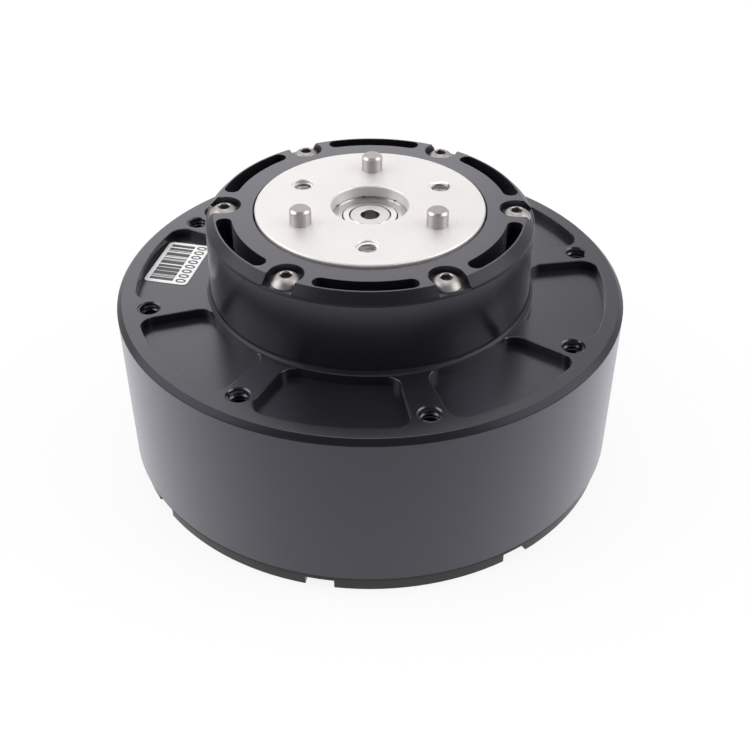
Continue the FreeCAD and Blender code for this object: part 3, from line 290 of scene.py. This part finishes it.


# a bare metal: how patchy it is, fine lines per metre across and along the axis, and for a
# rod the height above which its end face is painted darker, as painted shade
def metal(colour, roughness, patch, across=0, along=0, endFace=None, endShade=1.0):
    return {
        "colour": colour,
        "roughness": roughness,
        "patch": patch,
        "across": across,
        "along": along,
        "endFace": endFace,
        "endShade": endShade,
    }


allMetals = {"patches": 900.0, "patchGloss": 0.25, "patchRelief": 0.4, "depth": 0.000006}
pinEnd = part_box("output_pins")[1].z - 0.02 * mm
metals = {
    "dowelSteel": metal((0.47, 0.445, 0.43), 0.34, 0.3, 0, 5200, pinEnd, 0.55),
    "screwSteel": metal((0.37, 0.345, 0.335), 0.43, 0.9),
    "raceSteel": metal((0.47, 0.46, 0.45), 0.2, 0.1, across=9000),
    "shieldSteel": metal((0.56, 0.55, 0.54), 0.33, 0.2, across=2500),
    "shaftSteel": metal((0.46, 0.44, 0.435), 0.28, 0.2, 7000, 3000),
    "tappedSilver": metal((0.80, 0.785, 0.775), 0.34, 0.2),
    "gearSteel": metal((0.36, 0.36, 0.37), 0.35, 0.3, along=4000),
    "blackSteel": metal((0.045, 0.045, 0.05), 0.38, 0.4),
    "magnetNickel": metal((0.60, 0.59, 0.57), 0.24, 0.2),
    "laminatedSteel": metal((0.30, 0.31, 0.33), 0.42, 0.3, along=2000),
    "bushBronze": metal((0.52, 0.36, 0.19), 0.36, 0.3, along=3500),
    "windingCopper": metal((0.60, 0.25, 0.11), 0.3, 0.3, along=1700),
    "contactGold": metal((0.80, 0.60, 0.26), 0.22, 0.2),
    "canAluminium": metal((0.66, 0.66, 0.67), 0.36, 0.2, across=3000),
}


def metalFinish(name, look):
    f = Finish(name)
    patches = f.noise(allMetals["patches"], 3.0)
    worn = opaque(look["colour"], 1.0 - 0.5 * look["patch"])
    shade = f.mixColours(patches, worn, opaque(look["colour"]))
    # above endFace the colour is darkened: painted shade on the end face
    if look["endFace"]:
        paintedEndShade = opaque(look["colour"], look["endShade"])
        shade = f.mixColours(f.z > look["endFace"], shade, paintedEndShade)
    height = patches * allMetals["patchRelief"]
    if look["across"]:
        height = height + f.rings(look["across"])
    if look["along"]:
        height = height + f.rings(look["along"], f.z)
    uneven = (patches - 0.5) * allMetals["patchGloss"] * look["patch"]
    return f.finish(
        {
            "Base Color": shade,
            "Metallic": 1.0,
            "Roughness": look["roughness"] + uneven,
            "Normal": f.bump(height, 0.3, allMetals["depth"]),
        }
    )


# what is moulded, painted or printed: bump grain per metre and its depth
def plastic(colour, roughness, grain, depth):
    return {"colour": colour, "roughness": roughness, "grain": grain, "depth": depth}


allPlastics = {"cloud": 120.0, "darker": 0.86, "grainGloss": 0.12}
plastics = {
    "sealRubber": plastic((0.012, 0.012, 0.013), 0.7, 3000, 0.00001),
    "cageNylon": plastic((0.42, 0.38, 0.28), 0.55, 2500, 0.00001),
    "boardMask": plastic((0.012, 0.10, 0.045), 0.3, 700, 0.00001),
    "chipMould": plastic((0.02, 0.02, 0.021), 0.5, 5000, 0.000008),
    "socketYellow": plastic((0.72, 0.47, 0.04), 0.35, 1800, 0.000006),
    "socketIvory": plastic((0.74, 0.72, 0.66), 0.42, 1800, 0.000006),
    "labelFilm": plastic((0.93, 0.93, 0.925), 0.45, 900, 0.000006),
    "labelInk": plastic((0.05, 0.05, 0.054), 0.5, 900, 0.000004),
}


def plasticFinish(name, look):
    f = Finish(name)
    cloud = f.noise(allPlastics["cloud"], 3.0)
    grain = f.noise(look["grain"], 2.0)
    shade = opaque(look["colour"], allPlastics["darker"])
    return f.finish(
        {
            "Base Color": f.mixColours(cloud, shade, opaque(look["colour"])),
            "Roughness": look["roughness"] + (grain - 0.5) * allPlastics["grainGloss"],
            "Normal": f.bump(grain, 0.4, look["depth"]),
        }
    )


blacks = {
    "blackAnodised": anodised,
    "coverBlack": coverBlack,
    "edgeBlack": edgeBlack,
    "sleeveBlack": sleeveBlack,
}
finishes = {name: metalFinish(name, look) for name, look in metals.items()}
finishes.update({name: plasticFinish(name, look) for name, look in plastics.items()})
finishes.update({name: anodisedFinish(name, look) for name, look in blacks.items()})
finishes["silverBlasted"] = blastedFinish("silverBlasted", blasted)
print("finishes made:", len(finishes))

slotFinish = {
    "black_anodised": "blackAnodised",
    "silver_blasted": "silverBlasted",
    "bearing_steel": "raceSteel",
    "dowel_steel": "dowelSteel",
    "gear_steel": "gearSteel",
    "screw_steel": "screwSteel",
    "black_screw": "blackSteel",
    "bronze": "bushBronze",
    "magnet": "magnetNickel",
    "core_steel": "laminatedSteel",
    "copper": "windingCopper",
    "board_green": "boardMask",
    "chip_black": "chipMould",
    "capacitor": "canAluminium",
    "socket_yellow": "socketYellow",
    "socket_white": "socketIvory",
    "contact_gold": "contactGold",
    "seal_rubber": "sealRubber",
    "cage_plastic": "cageNylon",
    "label_white": "labelFilm",
}
nodeFinish = {
    "rear_cover": "coverBlack",
    "sun_gear_shaft": "shaftSteel",
    "nose_bearing_shield": "shieldSteel",
}
slotOf = {part["node"]: part["material_slot"] for part in frame["record"]["subparts"]}
bodies = frame["record"]["behaviour"]["bodies"]
bodyOf = {node: body for body, members in bodies.items() for node in members}


def finishOf(nodeName):
    return nodeFinish.get(nodeName, slotFinish[slotOf[nodeName]])


def paint(piece, finish):
    piece.data.materials.clear()
    piece.data.materials.append(finishes[finish])


for nodeName, node in nodes.items():
    paint(node, finishOf(nodeName))
print("CAD nodes painted")


def newPiece(name, mesh, finish, body):
    piece = bpy.data.objects.new(name, mesh)
    bpy.context.scene.collection.objects.link(piece)
    paint(piece, finish)
    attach(piece, body)
    return piece


def meshOf(build, name):
    mesh = bpy.data.meshes.new(name)
    build.to_mesh(mesh)
    build.free()
    return mesh


def smoothByAngle(mesh, degrees=30):
    mesh.shade_smooth()
    mesh.set_sharp_from_angle(angle=math.radians(degrees))


def evaluatedMesh(piece):
    bpy.context.view_layer.update()
    result = piece.evaluated_get(bpy.context.evaluated_depsgraph_get())
    return bpy.data.meshes.new_from_object(result)


def appliedMesh(piece):  # the piece's mesh with its modifiers in it
    mesh = evaluatedMesh(piece)
    piece.modifiers.clear()
    piece.data = mesh
    return mesh


# M4 threads: their pitch and ridge, the depth they reach, the angle (degrees) of the first hole
# and how far below the face they start
tapped = {
    "flange": {
        "pitch": 0.7 * mm,
        "ridge": 0.3 * mm,
        "depth": 4.3 * mm,
        "first": 15.0,
        "top": 0.3 * mm,
    },
    "output": {
        "pitch": 0.7 * mm,
        "ridge": 0.36 * mm,
        "depth": 5.6 * mm,
        "first": 30.0,
        "top": 0.35 * mm,
    },
}


# a band of radius and height (mm) whose sharp edges get a rounded bevel that catches the light;
# a held bevel shrinks rather than cross its neighbours
def edgeBand(radius, height, width, segments, held=False, offHoles=False):
    return {
        "radius": radius,
        "height": height,
        "width": width,
        "segments": segments,
        "held": held,
        "offHoles": offHoles,
    }


def atFace(height, below=0.02):
    return (height - below, height + 0.02)


everywhere = (-1000.0, 1000.0)
neckEdge, flangeEdge = neckTop / mm, flangeTop / mm
brokenEdges = {
    "front_housing": {
        "pocketRims": edgeBand((31.75, 47.4), atFace(flangeEdge), 0.22, 3, offHoles=True),
        "neckRims": edgeBand((20.0, 29.4), atFace(neckEdge), 0.05, 2, held=True),
        "shoulderFoot": edgeBand((30.85, 31.0), (49.9, 50.15), 0.4, 4),
        "sleeveTop": edgeBand((47.9, 49.1), atFace(flangeEdge, 1.2), 0.12, 2, offHoles=True),
    },
    "rear_cover": {"rim": edgeBand((44.0, 49.1), everywhere, 0.14, 2)},
    "output_flange": {"all": edgeBand(everywhere, everywhere, 0.05, 2, held=True)},
    "output_pins": {},  # only made smooth
    "sun_gear_shaft": {"all": edgeBand(everywhere, everywhere, 0.04, 1, held=True)},
}
sharpEdge = math.radians(25)
flatEdge = math.radians(0.3)
samePlace = 0.0005 * mm
clearOfHoles = 3.0 * mm


def holeCentres():
    dims = flangeHoles["dims"]
    for number in range(dims["count"]):
        angle = math.radians(tapped["flange"]["first"]) + math.tau * number / dims["count"]
        yield Vector((math.cos(angle), math.sin(angle))) * dims["pcd_mm"] * mm / 2


def inBand(point, band):
    radius, height = point.xy.length / mm, point.z / mm
    lowRadius, highRadius = band["radius"]
    lowest, highest = band["height"]
    return lowRadius < radius < highRadius and lowest < height < highest


def bevelBand(build, band):
    centres = list(holeCentres()) if band["offHoles"] else []

    def wanted(edge):
        ends = [vertex.co for vertex in edge.verts]
        return (
            edge.is_manifold
            and edge.calc_face_angle(0.0) > sharpEdge
            and all(inBand(end, band) for end in ends)
            and all((end.xy - centre).length > clearOfHoles for end in ends for centre in centres)
        )

    bmesh.ops.bevel(
        build,
        geom=[edge for edge in build.edges if wanted(edge)],
        offset=band["width"] * mm,
        offset_type="OFFSET",
        segments=band["segments"],
        profile=0.5,
        affect="EDGES",
        clamp_overlap=band["held"],
    )


# parts of a node with a finish of their own, by lowest and highest radius and height (mm); the
# less reflective black on the chamfers and the neck root is painted shade
bandFinishes = {
    "front_housing": {
        "flangeEdge": {
            "radius": (47.9, 49.1),
            "height": (flangeEdge - 1.15, flangeEdge - 0.02),
            "finish": "edgeBlack",
        },
        "neckShoulder": {
            "radius": (29.25, 31.0),
            "height": (49.6, neckEdge - 0.02),
            "finish": "edgeBlack",
        },
        "neckRoot": {
            "radius": (30.8, 32.2),
            "height": (flangeEdge + 0.02, flangeEdge + 1.2),
            "finish": "edgeBlack",
        },
        "sleeve": {
            "radius": (48.8, 49.1),
            "height": (0.0, flangeEdge - 1.15),
            "finish": "sleeveBlack",
        },
    },
}


def paintBands(mesh, bands):
    for finish in sorted({band["finish"] for band in bands.values()}):
        mesh.materials.append(finishes[finish])
        number = len(mesh.materials) - 1
        chosen = [band for band in bands.values() if band["finish"] == finish]
        for face in mesh.polygons:
            if any(inBand(face.center, band) for band in chosen):
                face.material_index = number


def breakEdges(nodeName, bands):
    build = bmesh.new()
    build.from_mesh(nodes[nodeName].data)
    bmesh.ops.remove_doubles(build, verts=build.verts, dist=samePlace)
    bmesh.ops.dissolve_limit(build, angle_limit=flatEdge, verts=build.verts, edges=build.edges)
    for band in bands.values():
        bevelBand(build, band)
    mesh = meshOf(build, nodeName + "_broken")
    for layer in [item.name for item in mesh.attributes if "normal" in item.name]:
        mesh.attributes.remove(mesh.attributes[layer])
    smoothByAngle(mesh)
    finish, body, slot = finishOf(nodeName), bodyOf[nodeName], slotOf[nodeName]
    piece = newPiece(nodeName + "_machined", mesh, finish, body)
    flat = piece.modifiers.new("flat", "WEIGHTED_NORMAL")  # keeps the faces beside a bevel flat
    flat.mode = "FACE_AREA"
    flat.weight = 100
    flat.thresh = 0.2
    flat.keep_sharp = True
    paintBands(appliedMesh(piece), bandFinishes.get(nodeName, {}))
    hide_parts(nodeName)
    return piece


for nodeName, look in brokenEdges.items():
    done = breakEdges(nodeName, look)
    print("edges broken:", nodeName, len(done.data.polygons), "faces")


class Recipe:  # one geometry-node group that copies a shape round a ring
    def __init__(self, name, inputs):
        self.tree = bpy.data.node_groups.new(name, "GeometryNodeTree")
        self.sockets = {}
        faceplate = self.tree.interface
        faceplate.new_socket("Geometry", in_out="OUTPUT", socket_type="NodeSocketGeometry")
        for title, kind in inputs.items():
            made = faceplate.new_socket(title, in_out="INPUT", socket_type=kind)
            self.sockets[title] = made.identifier
        self.start = self.tree.nodes.new("NodeGroupInput")
        self.end = self.tree.nodes.new("NodeGroupOutput")

    def input(self, title):
        return Signal(self.tree, self.start.outputs[title])

    def add(self, kind, settings=None, sockets=None, output=0):
        return addNode(self.tree, kind, settings, sockets, output)

    def alongZ(self, value):  # a move along Z, or a turn about it
        return self.add("ShaderNodeCombineXYZ", {}, {"Z": value})

    def raised(self, geometry, z):
        sockets = {"Geometry": geometry, "Translation": self.alongZ(z)}
        return self.add("GeometryNodeTransform", {}, sockets)

    def cylinder(self, radius, length, sides):
        sockets = {"Vertices": sides, "Radius": radius, "Depth": length}
        return self.add("GeometryNodeMeshCylinder", {}, sockets)

    def ringPoints(self):  # points on a circle about Z, the first at an angle from +X
        sockets = {"Vertices": self.input("Count"), "Radius": self.input("Circle")}
        circle = self.add("GeometryNodeMeshCircle", {}, sockets)
        turn = self.alongZ(self.input("First angle"))
        place = self.alongZ(self.input("Height"))
        sockets = {"Geometry": circle, "Rotation": turn, "Translation": place}
        return self.add("GeometryNodeTransform", {}, sockets)

    def outwardTurn(self):  # the turn that points a copy's +X away from the axis
        spot = self.add("GeometryNodeInputPosition")
        split = self.add("ShaderNodeSeparateXYZ", {}, {"Vector": spot})
        axes = split.socket.node.outputs
        across, along = Signal(self.tree, axes[0]), Signal(self.tree, axes[1])
        return self.alongZ(across.calc("ARCTAN2", along, across))

    def closeRing(self, shape, turn=None):
        sockets = {"Points": self.ringPoints(), "Instance": shape, "Rotation": turn}
        copies = self.add("GeometryNodeInstanceOnPoints", {}, sockets)
        solid = self.add("GeometryNodeRealizeInstances", {}, {"Geometry": copies})
        sockets = {"Geometry": solid, "Material": self.input("Finish")}
        painted = self.add("GeometryNodeSetMaterial", {}, sockets)
        self.tree.links.new(painted.socket, self.end.inputs[0])

    def make(self, name, values, body, slot, sharp=30):
        piece = bpy.data.objects.new(name, bpy.data.meshes.new(name))
        bpy.context.scene.collection.objects.link(piece)
        modifier = piece.modifiers.new("recipe", "NODES")
        modifier.node_group = self.tree
        for title, value in values.items():
            modifier[self.sockets[title]] = value
        appliedMesh(piece)
        smoothByAngle(piece.data, sharp)
        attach(piece, body)
        print("made:", name, len(piece.data.polygons), "faces")
        return piece


def inputsOf(lengths, whole=()):
    return {
        "Count": "NodeSocketInt",
        "Circle": "NodeSocketFloat",
        "First angle": "NodeSocketFloat",
        "Height": "NodeSocketFloat",
        "Finish": "NodeSocketMaterial",
        **{name: "NodeSocketFloat" for name in lengths},
        **{name: "NodeSocketInt" for name in whole},
    }


def threadRecipe():
    r = Recipe("tappedThread", inputsOf(("Radius", "Depth", "Pitch", "Ridge")))
    depth, pitch, radius = r.input("Depth"), r.input("Pitch"), r.input("Radius")
    helix = r.add(
        "GeometryNodeCurveSpiral",
        {},
        {
            "Resolution": 36,
            "Rotations": depth / pitch,
            "Start Radius": radius,
            "End Radius": radius,
            "Height": depth,
        },
    )
    sockets = {"Resolution": 4, "Radius": r.input("Ridge")}
    profile = r.add("GeometryNodeCurvePrimitiveCircle", {}, sockets)
    sunk = r.raised(helix, depth * -1.0)
    sockets = {"Curve": sunk, "Profile Curve": profile, "Fill Caps": True}
    r.closeRing(r.add("GeometryNodeCurveToMesh", {}, sockets), r.outwardTurn())
    return r


threads = threadRecipe()
ridgeOff = 0.1  # how far a ridge's middle stands off the wall, as a share of the ridge


def threadsOf(name, mount, look, finish, body, slot):
    dims = mount["dims"]
    values = {
        "Count": dims["count"],
        "Circle": dims["pcd_mm"] * mm / 2,
        "First angle": math.radians(look["first"]),
        "Height": mount["pos_m"][2] - look["top"],
        "Finish": finishes[finish],
        "Radius": dims["hole_r_mm"] * mm - look["ridge"] * ridgeOff,
        "Depth": look["depth"],
        "Pitch": look["pitch"],
        "Ridge": look["ridge"],
    }
    threads.make(name, values, body, slot, 40)


threadsOf(
    "flange_hole_threads",
    flangeHoles,
    tapped["flange"],
    "blackAnodised",
    "housing",
    "black_anodised",
)
threadsOf(
    "output_hole_threads",
    outputHoles,
    tapped["output"],
    "tappedSilver",
    "output",
    "silver_blasted",
)


def dotRecipe():
    r = Recipe("dots", inputsOf(("Dot radius", "Rise")))
    r.closeRing(r.cylinder(r.input("Dot radius"), r.input("Rise"), 12))
    return r


dots = dotRecipe()

# six button-head screws in the neck, each with a black disc down its hexagon socket as painted
# shade; the disc's shares are of the socket's depth
neckScrew = {
    "headRadius": 2.8 * mm,
    "headHeight": 1.65 * mm,
    "crownRadius": 3.226 * mm,
    "crownDrop": 1.303 * mm,
    "socket": 2.0 * mm,
    "socketDepth": 1.05 * mm,
    "shadeDiscDepth": 0.8,
    "shadeDiscRise": 0.3,
    "mouth": 1.22 * mm,
    "mouthDepth": 0.16 * mm,
    "shankRadius": 1.5 * mm,
    "circle": 27.45 * mm,
    "count": 6,
    "turnSeed": 4,
}
screwLengths = (
    "Head radius",
    "Head height",
    "Crown radius",
    "Crown drop",
    "Socket radius",
    "Socket depth",
    "Mouth radius",
    "Mouth depth",
    "Shank radius",
    "Shank length",
)


def neckScrewRecipe():
    r = Recipe("buttonHeadScrew", inputsOf(screwLengths, ("Seed",)))
    height, depth = r.input("Head height"), r.input("Socket depth")
    mouthRadius, mouthDepth = r.input("Mouth radius"), r.input("Mouth depth")

    def carve(operation, first, *others):
        settings = {"operation": operation, "solver": "EXACT"}
        made = r.add("GeometryNodeMeshBoolean", settings).socket.node
        firstInput = "Mesh 1" if operation == "DIFFERENCE" else "Mesh 2"
        plug(r.tree, made.inputs[firstInput], first)
        for other in others:
            plug(r.tree, made.inputs["Mesh 2"], other)
        return Signal(r.tree, made.outputs[0])

    sockets = {"Segments": 64, "Rings": 48, "Radius": r.input("Crown radius")}
    crown = r.add("GeometryNodeMeshUVSphere", {}, sockets)
    disc = r.raised(r.cylinder(r.input("Head radius"), height, 64), height / 2.0)
    head = carve("INTERSECT", r.raised(crown, r.input("Crown drop") * -1.0), disc)
    hexagon = r.raised(r.cylinder(r.input("Socket radius"), depth * 2.0, 6), height)
    mouth = r.add(
        "GeometryNodeMeshCone",
        {},
        {
            "Vertices": 48,
            "Radius Top": mouthRadius + mouthDepth,
            "Radius Bottom": mouthRadius - mouthDepth,
            "Depth": mouthDepth * 2.0,
        },
    )
    socketed = carve("DIFFERENCE", head, hexagon, r.raised(mouth, height - mouthDepth))
    length = r.input("Shank length")
    shank = r.raised(r.cylinder(r.input("Shank radius"), length, 24), length / -2.0)
    whole = r.add("GeometryNodeJoinGeometry", {}, {"Geometry": socketed})
    r.tree.links.new(shank.socket, whole.socket.node.inputs[0])
    spin = r.add("FunctionNodeRandomValue", {"data_type": "FLOAT"}, {"Seed": r.input("Seed")}, 1)
    spin.socket.node.inputs[3].default_value = math.tau  # the highest value
    r.closeRing(whole, r.alongZ(spin))
    return r


def neckScrews(look):
    low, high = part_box("neck_screws")
    seat = high.z - look["headHeight"]
    ring = {"Count": look["count"], "Circle": look["circle"], "First angle": 0.0}
    values = {
        **ring,
        "Height": seat,
        "Finish": finishes["screwSteel"],
        "Head radius": look["headRadius"],
        "Head height": look["headHeight"],
        "Crown radius": look["crownRadius"],
        "Crown drop": look["crownDrop"],
        "Socket radius": look["socket"] / math.sqrt(3),
        "Socket depth": look["socketDepth"],
        "Mouth radius": look["mouth"],
        "Mouth depth": look["mouthDepth"],
        "Shank radius": look["shankRadius"],
        "Shank length": seat - low.z,
        "Seed": look["turnSeed"],
    }
    made = neckScrewRecipe().make("neck_button_screws", values, "housing", "screw_steel", 24)
    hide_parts("neck_screws")
    # a black disc down each hexagon socket: painted shade
    socketShade = {
        **ring,
        "Height": high.z - look["socketDepth"] * look["shadeDiscDepth"],
        "Finish": finishes["blackSteel"],
        "Dot radius": look["socket"] / 2,
        "Rise": look["socketDepth"] * look["shadeDiscRise"],
    }
    dots.make("neck_screw_socket_shade", socketShade, "housing", "screw_steel")


neckScrews(neckScrew)

# a black rubber gasket between the sleeve and the cover; it is also painted shade, the dark line
# of the groove there
gasketShade = {"radius": 48.75 * mm, "width": 1.2 * mm, "gap": 0.72 * mm, "sides": 180}


def gasketShadeRing(look):
    build = bmesh.new()
    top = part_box("front_housing")[0].z
    outer, inner = look["radius"], look["radius"] - look["width"]
    section = ((inner, top - look["gap"]), (outer, top - look["gap"]), (outer, top), (inner, top))
    loops = []
    for number in range(look["sides"]):
        angle = math.tau * number / look["sides"]
        across = Vector((math.cos(angle), math.sin(angle), 0))
        spots = [across * radius + Vector((0, 0, z)) for radius, z in section]
        loops.append([build.verts.new(spot) for spot in spots])
    for here, after in zip(loops, loops[1:] + loops[:1]):
        for side in range(len(section)):
            there = (side + 1) % len(section)
            build.faces.new((here[side], after[side], after[there], here[there]))
    bmesh.ops.recalc_face_normals(build, faces=build.faces)
    ring = meshOf(build, "cover_gasket_shade")
    smoothByAngle(ring)
    newPiece("cover_gasket_shade", ring, "sealRubber", "housing")


gasketShadeRing(gasketShade)

# dots round the shaft bearing; the first one's angle is in degrees
bearingDots = {
    "count": 7,
    "circle": 7.1 * mm,
    "first": 49.7,
    "radius": 0.22 * mm,
    "rise": 0.12 * mm,
}


def shaftBearingDots(look):
    values = {
        "Count": look["count"],
        "Circle": look["circle"],
        "First angle": math.radians(look["first"]),
        "Height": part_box("nose_bearing_outer_race")[1].z,
        "Finish": finishes["blackSteel"],
        "Dot radius": look["radius"],
        "Rise": look["rise"],
    }
    dots.make("shaft_bearing_dots", values, "output", "bearing_steel")


shaftBearingDots(bearingDots)

# the printed label: film, bars of random width (mm) and a row of digits; angle in degrees
label = {
    "angle": 168.6,
    "circle": 40.05 * mm,
    "length": 15.2 * mm,
    "width": 9.0 * mm,
    "thickness": 0.1 * mm,
    "corner": 0.95 * mm,
    "cornerSteps": 4,
    "barLength": 4.9 * mm,
    "barInset": 0.9 * mm,
    "barEnds": 0.9 * mm,
    "barWidths": (0.2, 0.3, 0.5, 0.9, 1.2),
    "barGaps": (0.16, 0.2, 0.2, 0.4),
    "seed": 11,
    "digits": "00000000",
    "digitHeight": 2.05 * mm,
    "digitWeight": 0.045 * mm,
    "digitSpacing": 1.25,
    "fontSize": 1.4,
    "digitInset": 0.85,
    "ink": 0.012 * mm,
}
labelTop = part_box("serial_label")[1].z


def labelPlace(look):
    turn = Matrix.Rotation(math.radians(look["angle"]), 4, "Z")
    return turn @ Matrix.Translation((look["circle"], 0.0, labelTop))


def labelFilm(look):
    build = bmesh.new()
    reachX, reachY = look["width"] / 2 - look["corner"], look["length"] / 2 - look["corner"]
    corners = []
    for quarter, (sideX, sideY) in enumerate(((1, 1), (-1, 1), (-1, -1), (1, -1))):
        centre = Vector((sideX * reachX, sideY * reachY, 0))
        for step in range(look["cornerSteps"] + 1):
            angle = math.radians(90 * quarter + 90 / look["cornerSteps"] * step)
            outward = Vector((math.cos(angle), math.sin(angle), 0))
            corners.append(centre + outward * look["corner"])
    drop = Vector((0, 0, look["thickness"]))
    top = [build.verts.new(corner) for corner in corners]
    low = [build.verts.new(corner - drop) for corner in corners]
    build.faces.new(top)
    build.faces.new(list(reversed(low)))
    for number in range(len(top)):
        after = (number + 1) % len(top)
        build.faces.new((low[number], low[after], top[after], top[number]))
    build.transform(labelPlace(look))
    mesh = meshOf(build, "label_film")
    film = newPiece("label_film", mesh, "labelFilm", "housing")
    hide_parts("serial_label")


def labelBars(look):
    chance = random.Random(look["seed"])
    outer = look["width"] / 2 - look["barInset"]
    inner = outer - look["barLength"]
    build = bmesh.new()
    at = -look["length"] / 2 + look["barEnds"]
    end = -at
    while at < end:
        last = min(at + chance.choice(look["barWidths"]) * mm, end)
        corners = ((inner, at), (outer, at), (outer, last), (inner, last))
        bar = build.faces.new([build.verts.new((x, y, look["ink"])) for x, y in corners])
        sunk = bmesh.ops.extrude_face_region(build, geom=[bar], use_keep_orig=True)["geom"]
        for vertex in (item for item in sunk if isinstance(item, bmesh.types.BMVert)):
            vertex.co.z -= look["ink"] * 2
        at = last + chance.choice(look["barGaps"]) * mm
    bmesh.ops.recalc_face_normals(build, faces=build.faces)
    build.transform(labelPlace(look))
    newPiece("label_bars", meshOf(build, "label_bars"), "labelInk", "housing")


def textMesh(look):
    words = bpy.data.curves.new("label_digits", "FONT")
    words.body = look["digits"]
    words.size = look["digitHeight"] * look["fontSize"]
    words.align_x = "CENTER"
    words.align_y = "CENTER"
    words.space_character = look["digitSpacing"]
    words.offset = look["digitWeight"]
    words.extrude = look["ink"]
    holder = bpy.data.objects.new("digitHolder", words)
    bpy.context.scene.collection.objects.link(holder)
    mesh = evaluatedMesh(holder)
    bpy.data.objects.remove(holder)
    return mesh


def labelDigits(look):
    across = -look["width"] / 2 + look["digitHeight"] * look["digitInset"]
    sideways = Matrix.Rotation(math.radians(90), 4, "Z")
    build = bmesh.new()
    build.from_mesh(textMesh(look))
    build.transform(labelPlace(look) @ Matrix.Translation((across, 0, 0)) @ sideways)
    bmesh.ops.remove_doubles(build, verts=build.verts, dist=samePlace)
    bmesh.ops.recalc_face_normals(build, faces=build.faces)
    newPiece("label_digits", meshOf(build, "label_digits"), "labelInk", "housing")


labelFilm(label)
labelBars(label)
labelDigits(label)
print("label made")

# the camera's place and its turns in degrees
camera = {
    "height": 155.5 * mm,
    "back": 188.6 * mm,
    "side": 0.93 * mm,
    "down": 37.24,
    "turn": 1.4,
    "lens": 54.53,
}


def placeCamera(look):
    lens = bpy.data.cameras.new("camera")
    lens.lens = look["lens"]
    lens.sensor_width = 36.0
    lens.clip_start = 0.01
    eye = bpy.data.objects.new("camera", lens)
    turn = Matrix.Rotation(math.radians(look["turn"]), 4, "Z")
    place = Matrix.Translation((look["side"], -look["back"], look["height"]))
    tilt = Matrix.Rotation(math.radians(90 - look["down"]), 4, "X")
    eye.matrix_world = turn @ place @ tilt
    bpy.context.scene.collection.objects.link(eye)
    bpy.context.scene.camera = eye


# where each soft box stands, its size and its power in watts; all look at one spot
lampTarget = Vector((0, 0, 0.03))
lamps = {
    "leftBox": {"at": (-0.62, -0.05, 0.44), "size": (0.6, 0.6), "power": 3.5},
    "rightBox": {"at": (0.64, -0.05, 0.44), "size": (0.6, 0.6), "power": 3.5},
    "backBox": {"at": (-0.26, 0.74, 0.44), "size": (0.8, 0.4), "power": 1.0},
    "topBox": {"at": (0.0, 0.03, 0.85), "size": (0.5, 0.5), "power": 1.9},
}


def placeLamps(boxes):
    for name, box in boxes.items():
        lamp = bpy.data.lights.new(name, "AREA")
        lamp.shape = "RECTANGLE"
        lamp.size, lamp.size_y = box["size"]
        lamp.energy = box["power"]
        holder = bpy.data.objects.new(name, lamp)
        holder.location = box["at"]
        aim = lampTarget - Vector(box["at"])
        holder.rotation_euler = aim.to_track_quat("-Z", "Y").to_euler()
        bpy.context.scene.collection.objects.link(holder)


# white room whose part above and behind the camera is dim, and the white floor
studio = {
    "world": 0.75,
    "behindCamera": 0.15,
    "dimUp": 0.8,
    "dimForward": -0.6,
    "dimFrom": 0.62,
    "dimSoftness": 0.28,
    "floor": 0.82,
    "floorGlow": 0.88,
    "floorSize": 6.0,
    "floorDrop": 0.05 * mm,
}


def seenShare(tree):  # 1 where the camera, a mirror or glass looks, 0 where light is gathered
    rays = tree.nodes.new("ShaderNodeLightPath").outputs
    camera = Signal(tree, rays["Is Camera Ray"])
    glossy = Signal(tree, rays["Is Glossy Ray"])
    through = Signal(tree, rays["Is Transmission Ray"])
    return (camera + glossy + through).clamped()


def placeWorld(look):
    world = bpy.data.worlds.new("studio")
    tree = emptyTree(world)
    place = addNode(tree, "ShaderNodeTexCoord", output="Generated")
    split = addNode(tree, "ShaderNodeSeparateXYZ", sockets={"Vector": place})
    axes = split.socket.node.outputs
    forward, up = Signal(tree, axes[1]), Signal(tree, axes[2])
    towards = up * look["dimUp"] + forward * look["dimForward"]
    unlit = ((towards - look["dimFrom"]) / look["dimSoftness"]).clamped()
    camera = Signal(tree, tree.nodes.new("ShaderNodeLightPath").outputs["Is Camera Ray"])
    lit = look["world"] + seenShare(tree) * (1.0 - look["world"])
    dimmed = 1.0 - unlit * (1.0 - camera) * (1.0 - look["behindCamera"])
    sockets = {"Color": grey(1.0), "Strength": lit * dimmed}
    sky = addNode(tree, "ShaderNodeBackground", {}, sockets)
    addNode(tree, "ShaderNodeOutputWorld", {}, {"Surface": sky})
    bpy.context.scene.world = world


def placeFloor(look):
    build = bmesh.new()
    bmesh.ops.create_grid(build, x_segments=1, y_segments=1, size=look["floorSize"])
    build.transform(Matrix.Translation((0, 0, cadBox[0][2] - look["floorDrop"])))
    mesh = meshOf(build, "floor")
    floor = bpy.data.objects.new("floor", mesh)
    bpy.context.scene.collection.objects.link(floor)
    material = bpy.data.materials.new("floor")
    tree = emptyTree(material)
    matt = addNode(tree, "ShaderNodeBsdfDiffuse", {}, {"Color": grey(look["floor"])})
    glow = addNode(tree, "ShaderNodeEmission", {}, {"Color": grey(1.0), "Strength": 1.0})
    share = seenShare(tree) * look["floorGlow"]
    mixed = addNode(tree, "ShaderNodeMixShader", {}, {0: share, 1: matt, 2: glow})
    addNode(tree, "ShaderNodeOutputMaterial", {}, {"Surface": mixed})
    mesh.materials.append(material)


placeCamera(camera)
placeLamps(lamps)
placeWorld(studio)
placeFloor(studio)
bpy.context.scene.view_settings.view_transform = "Standard"
print("studio placed")
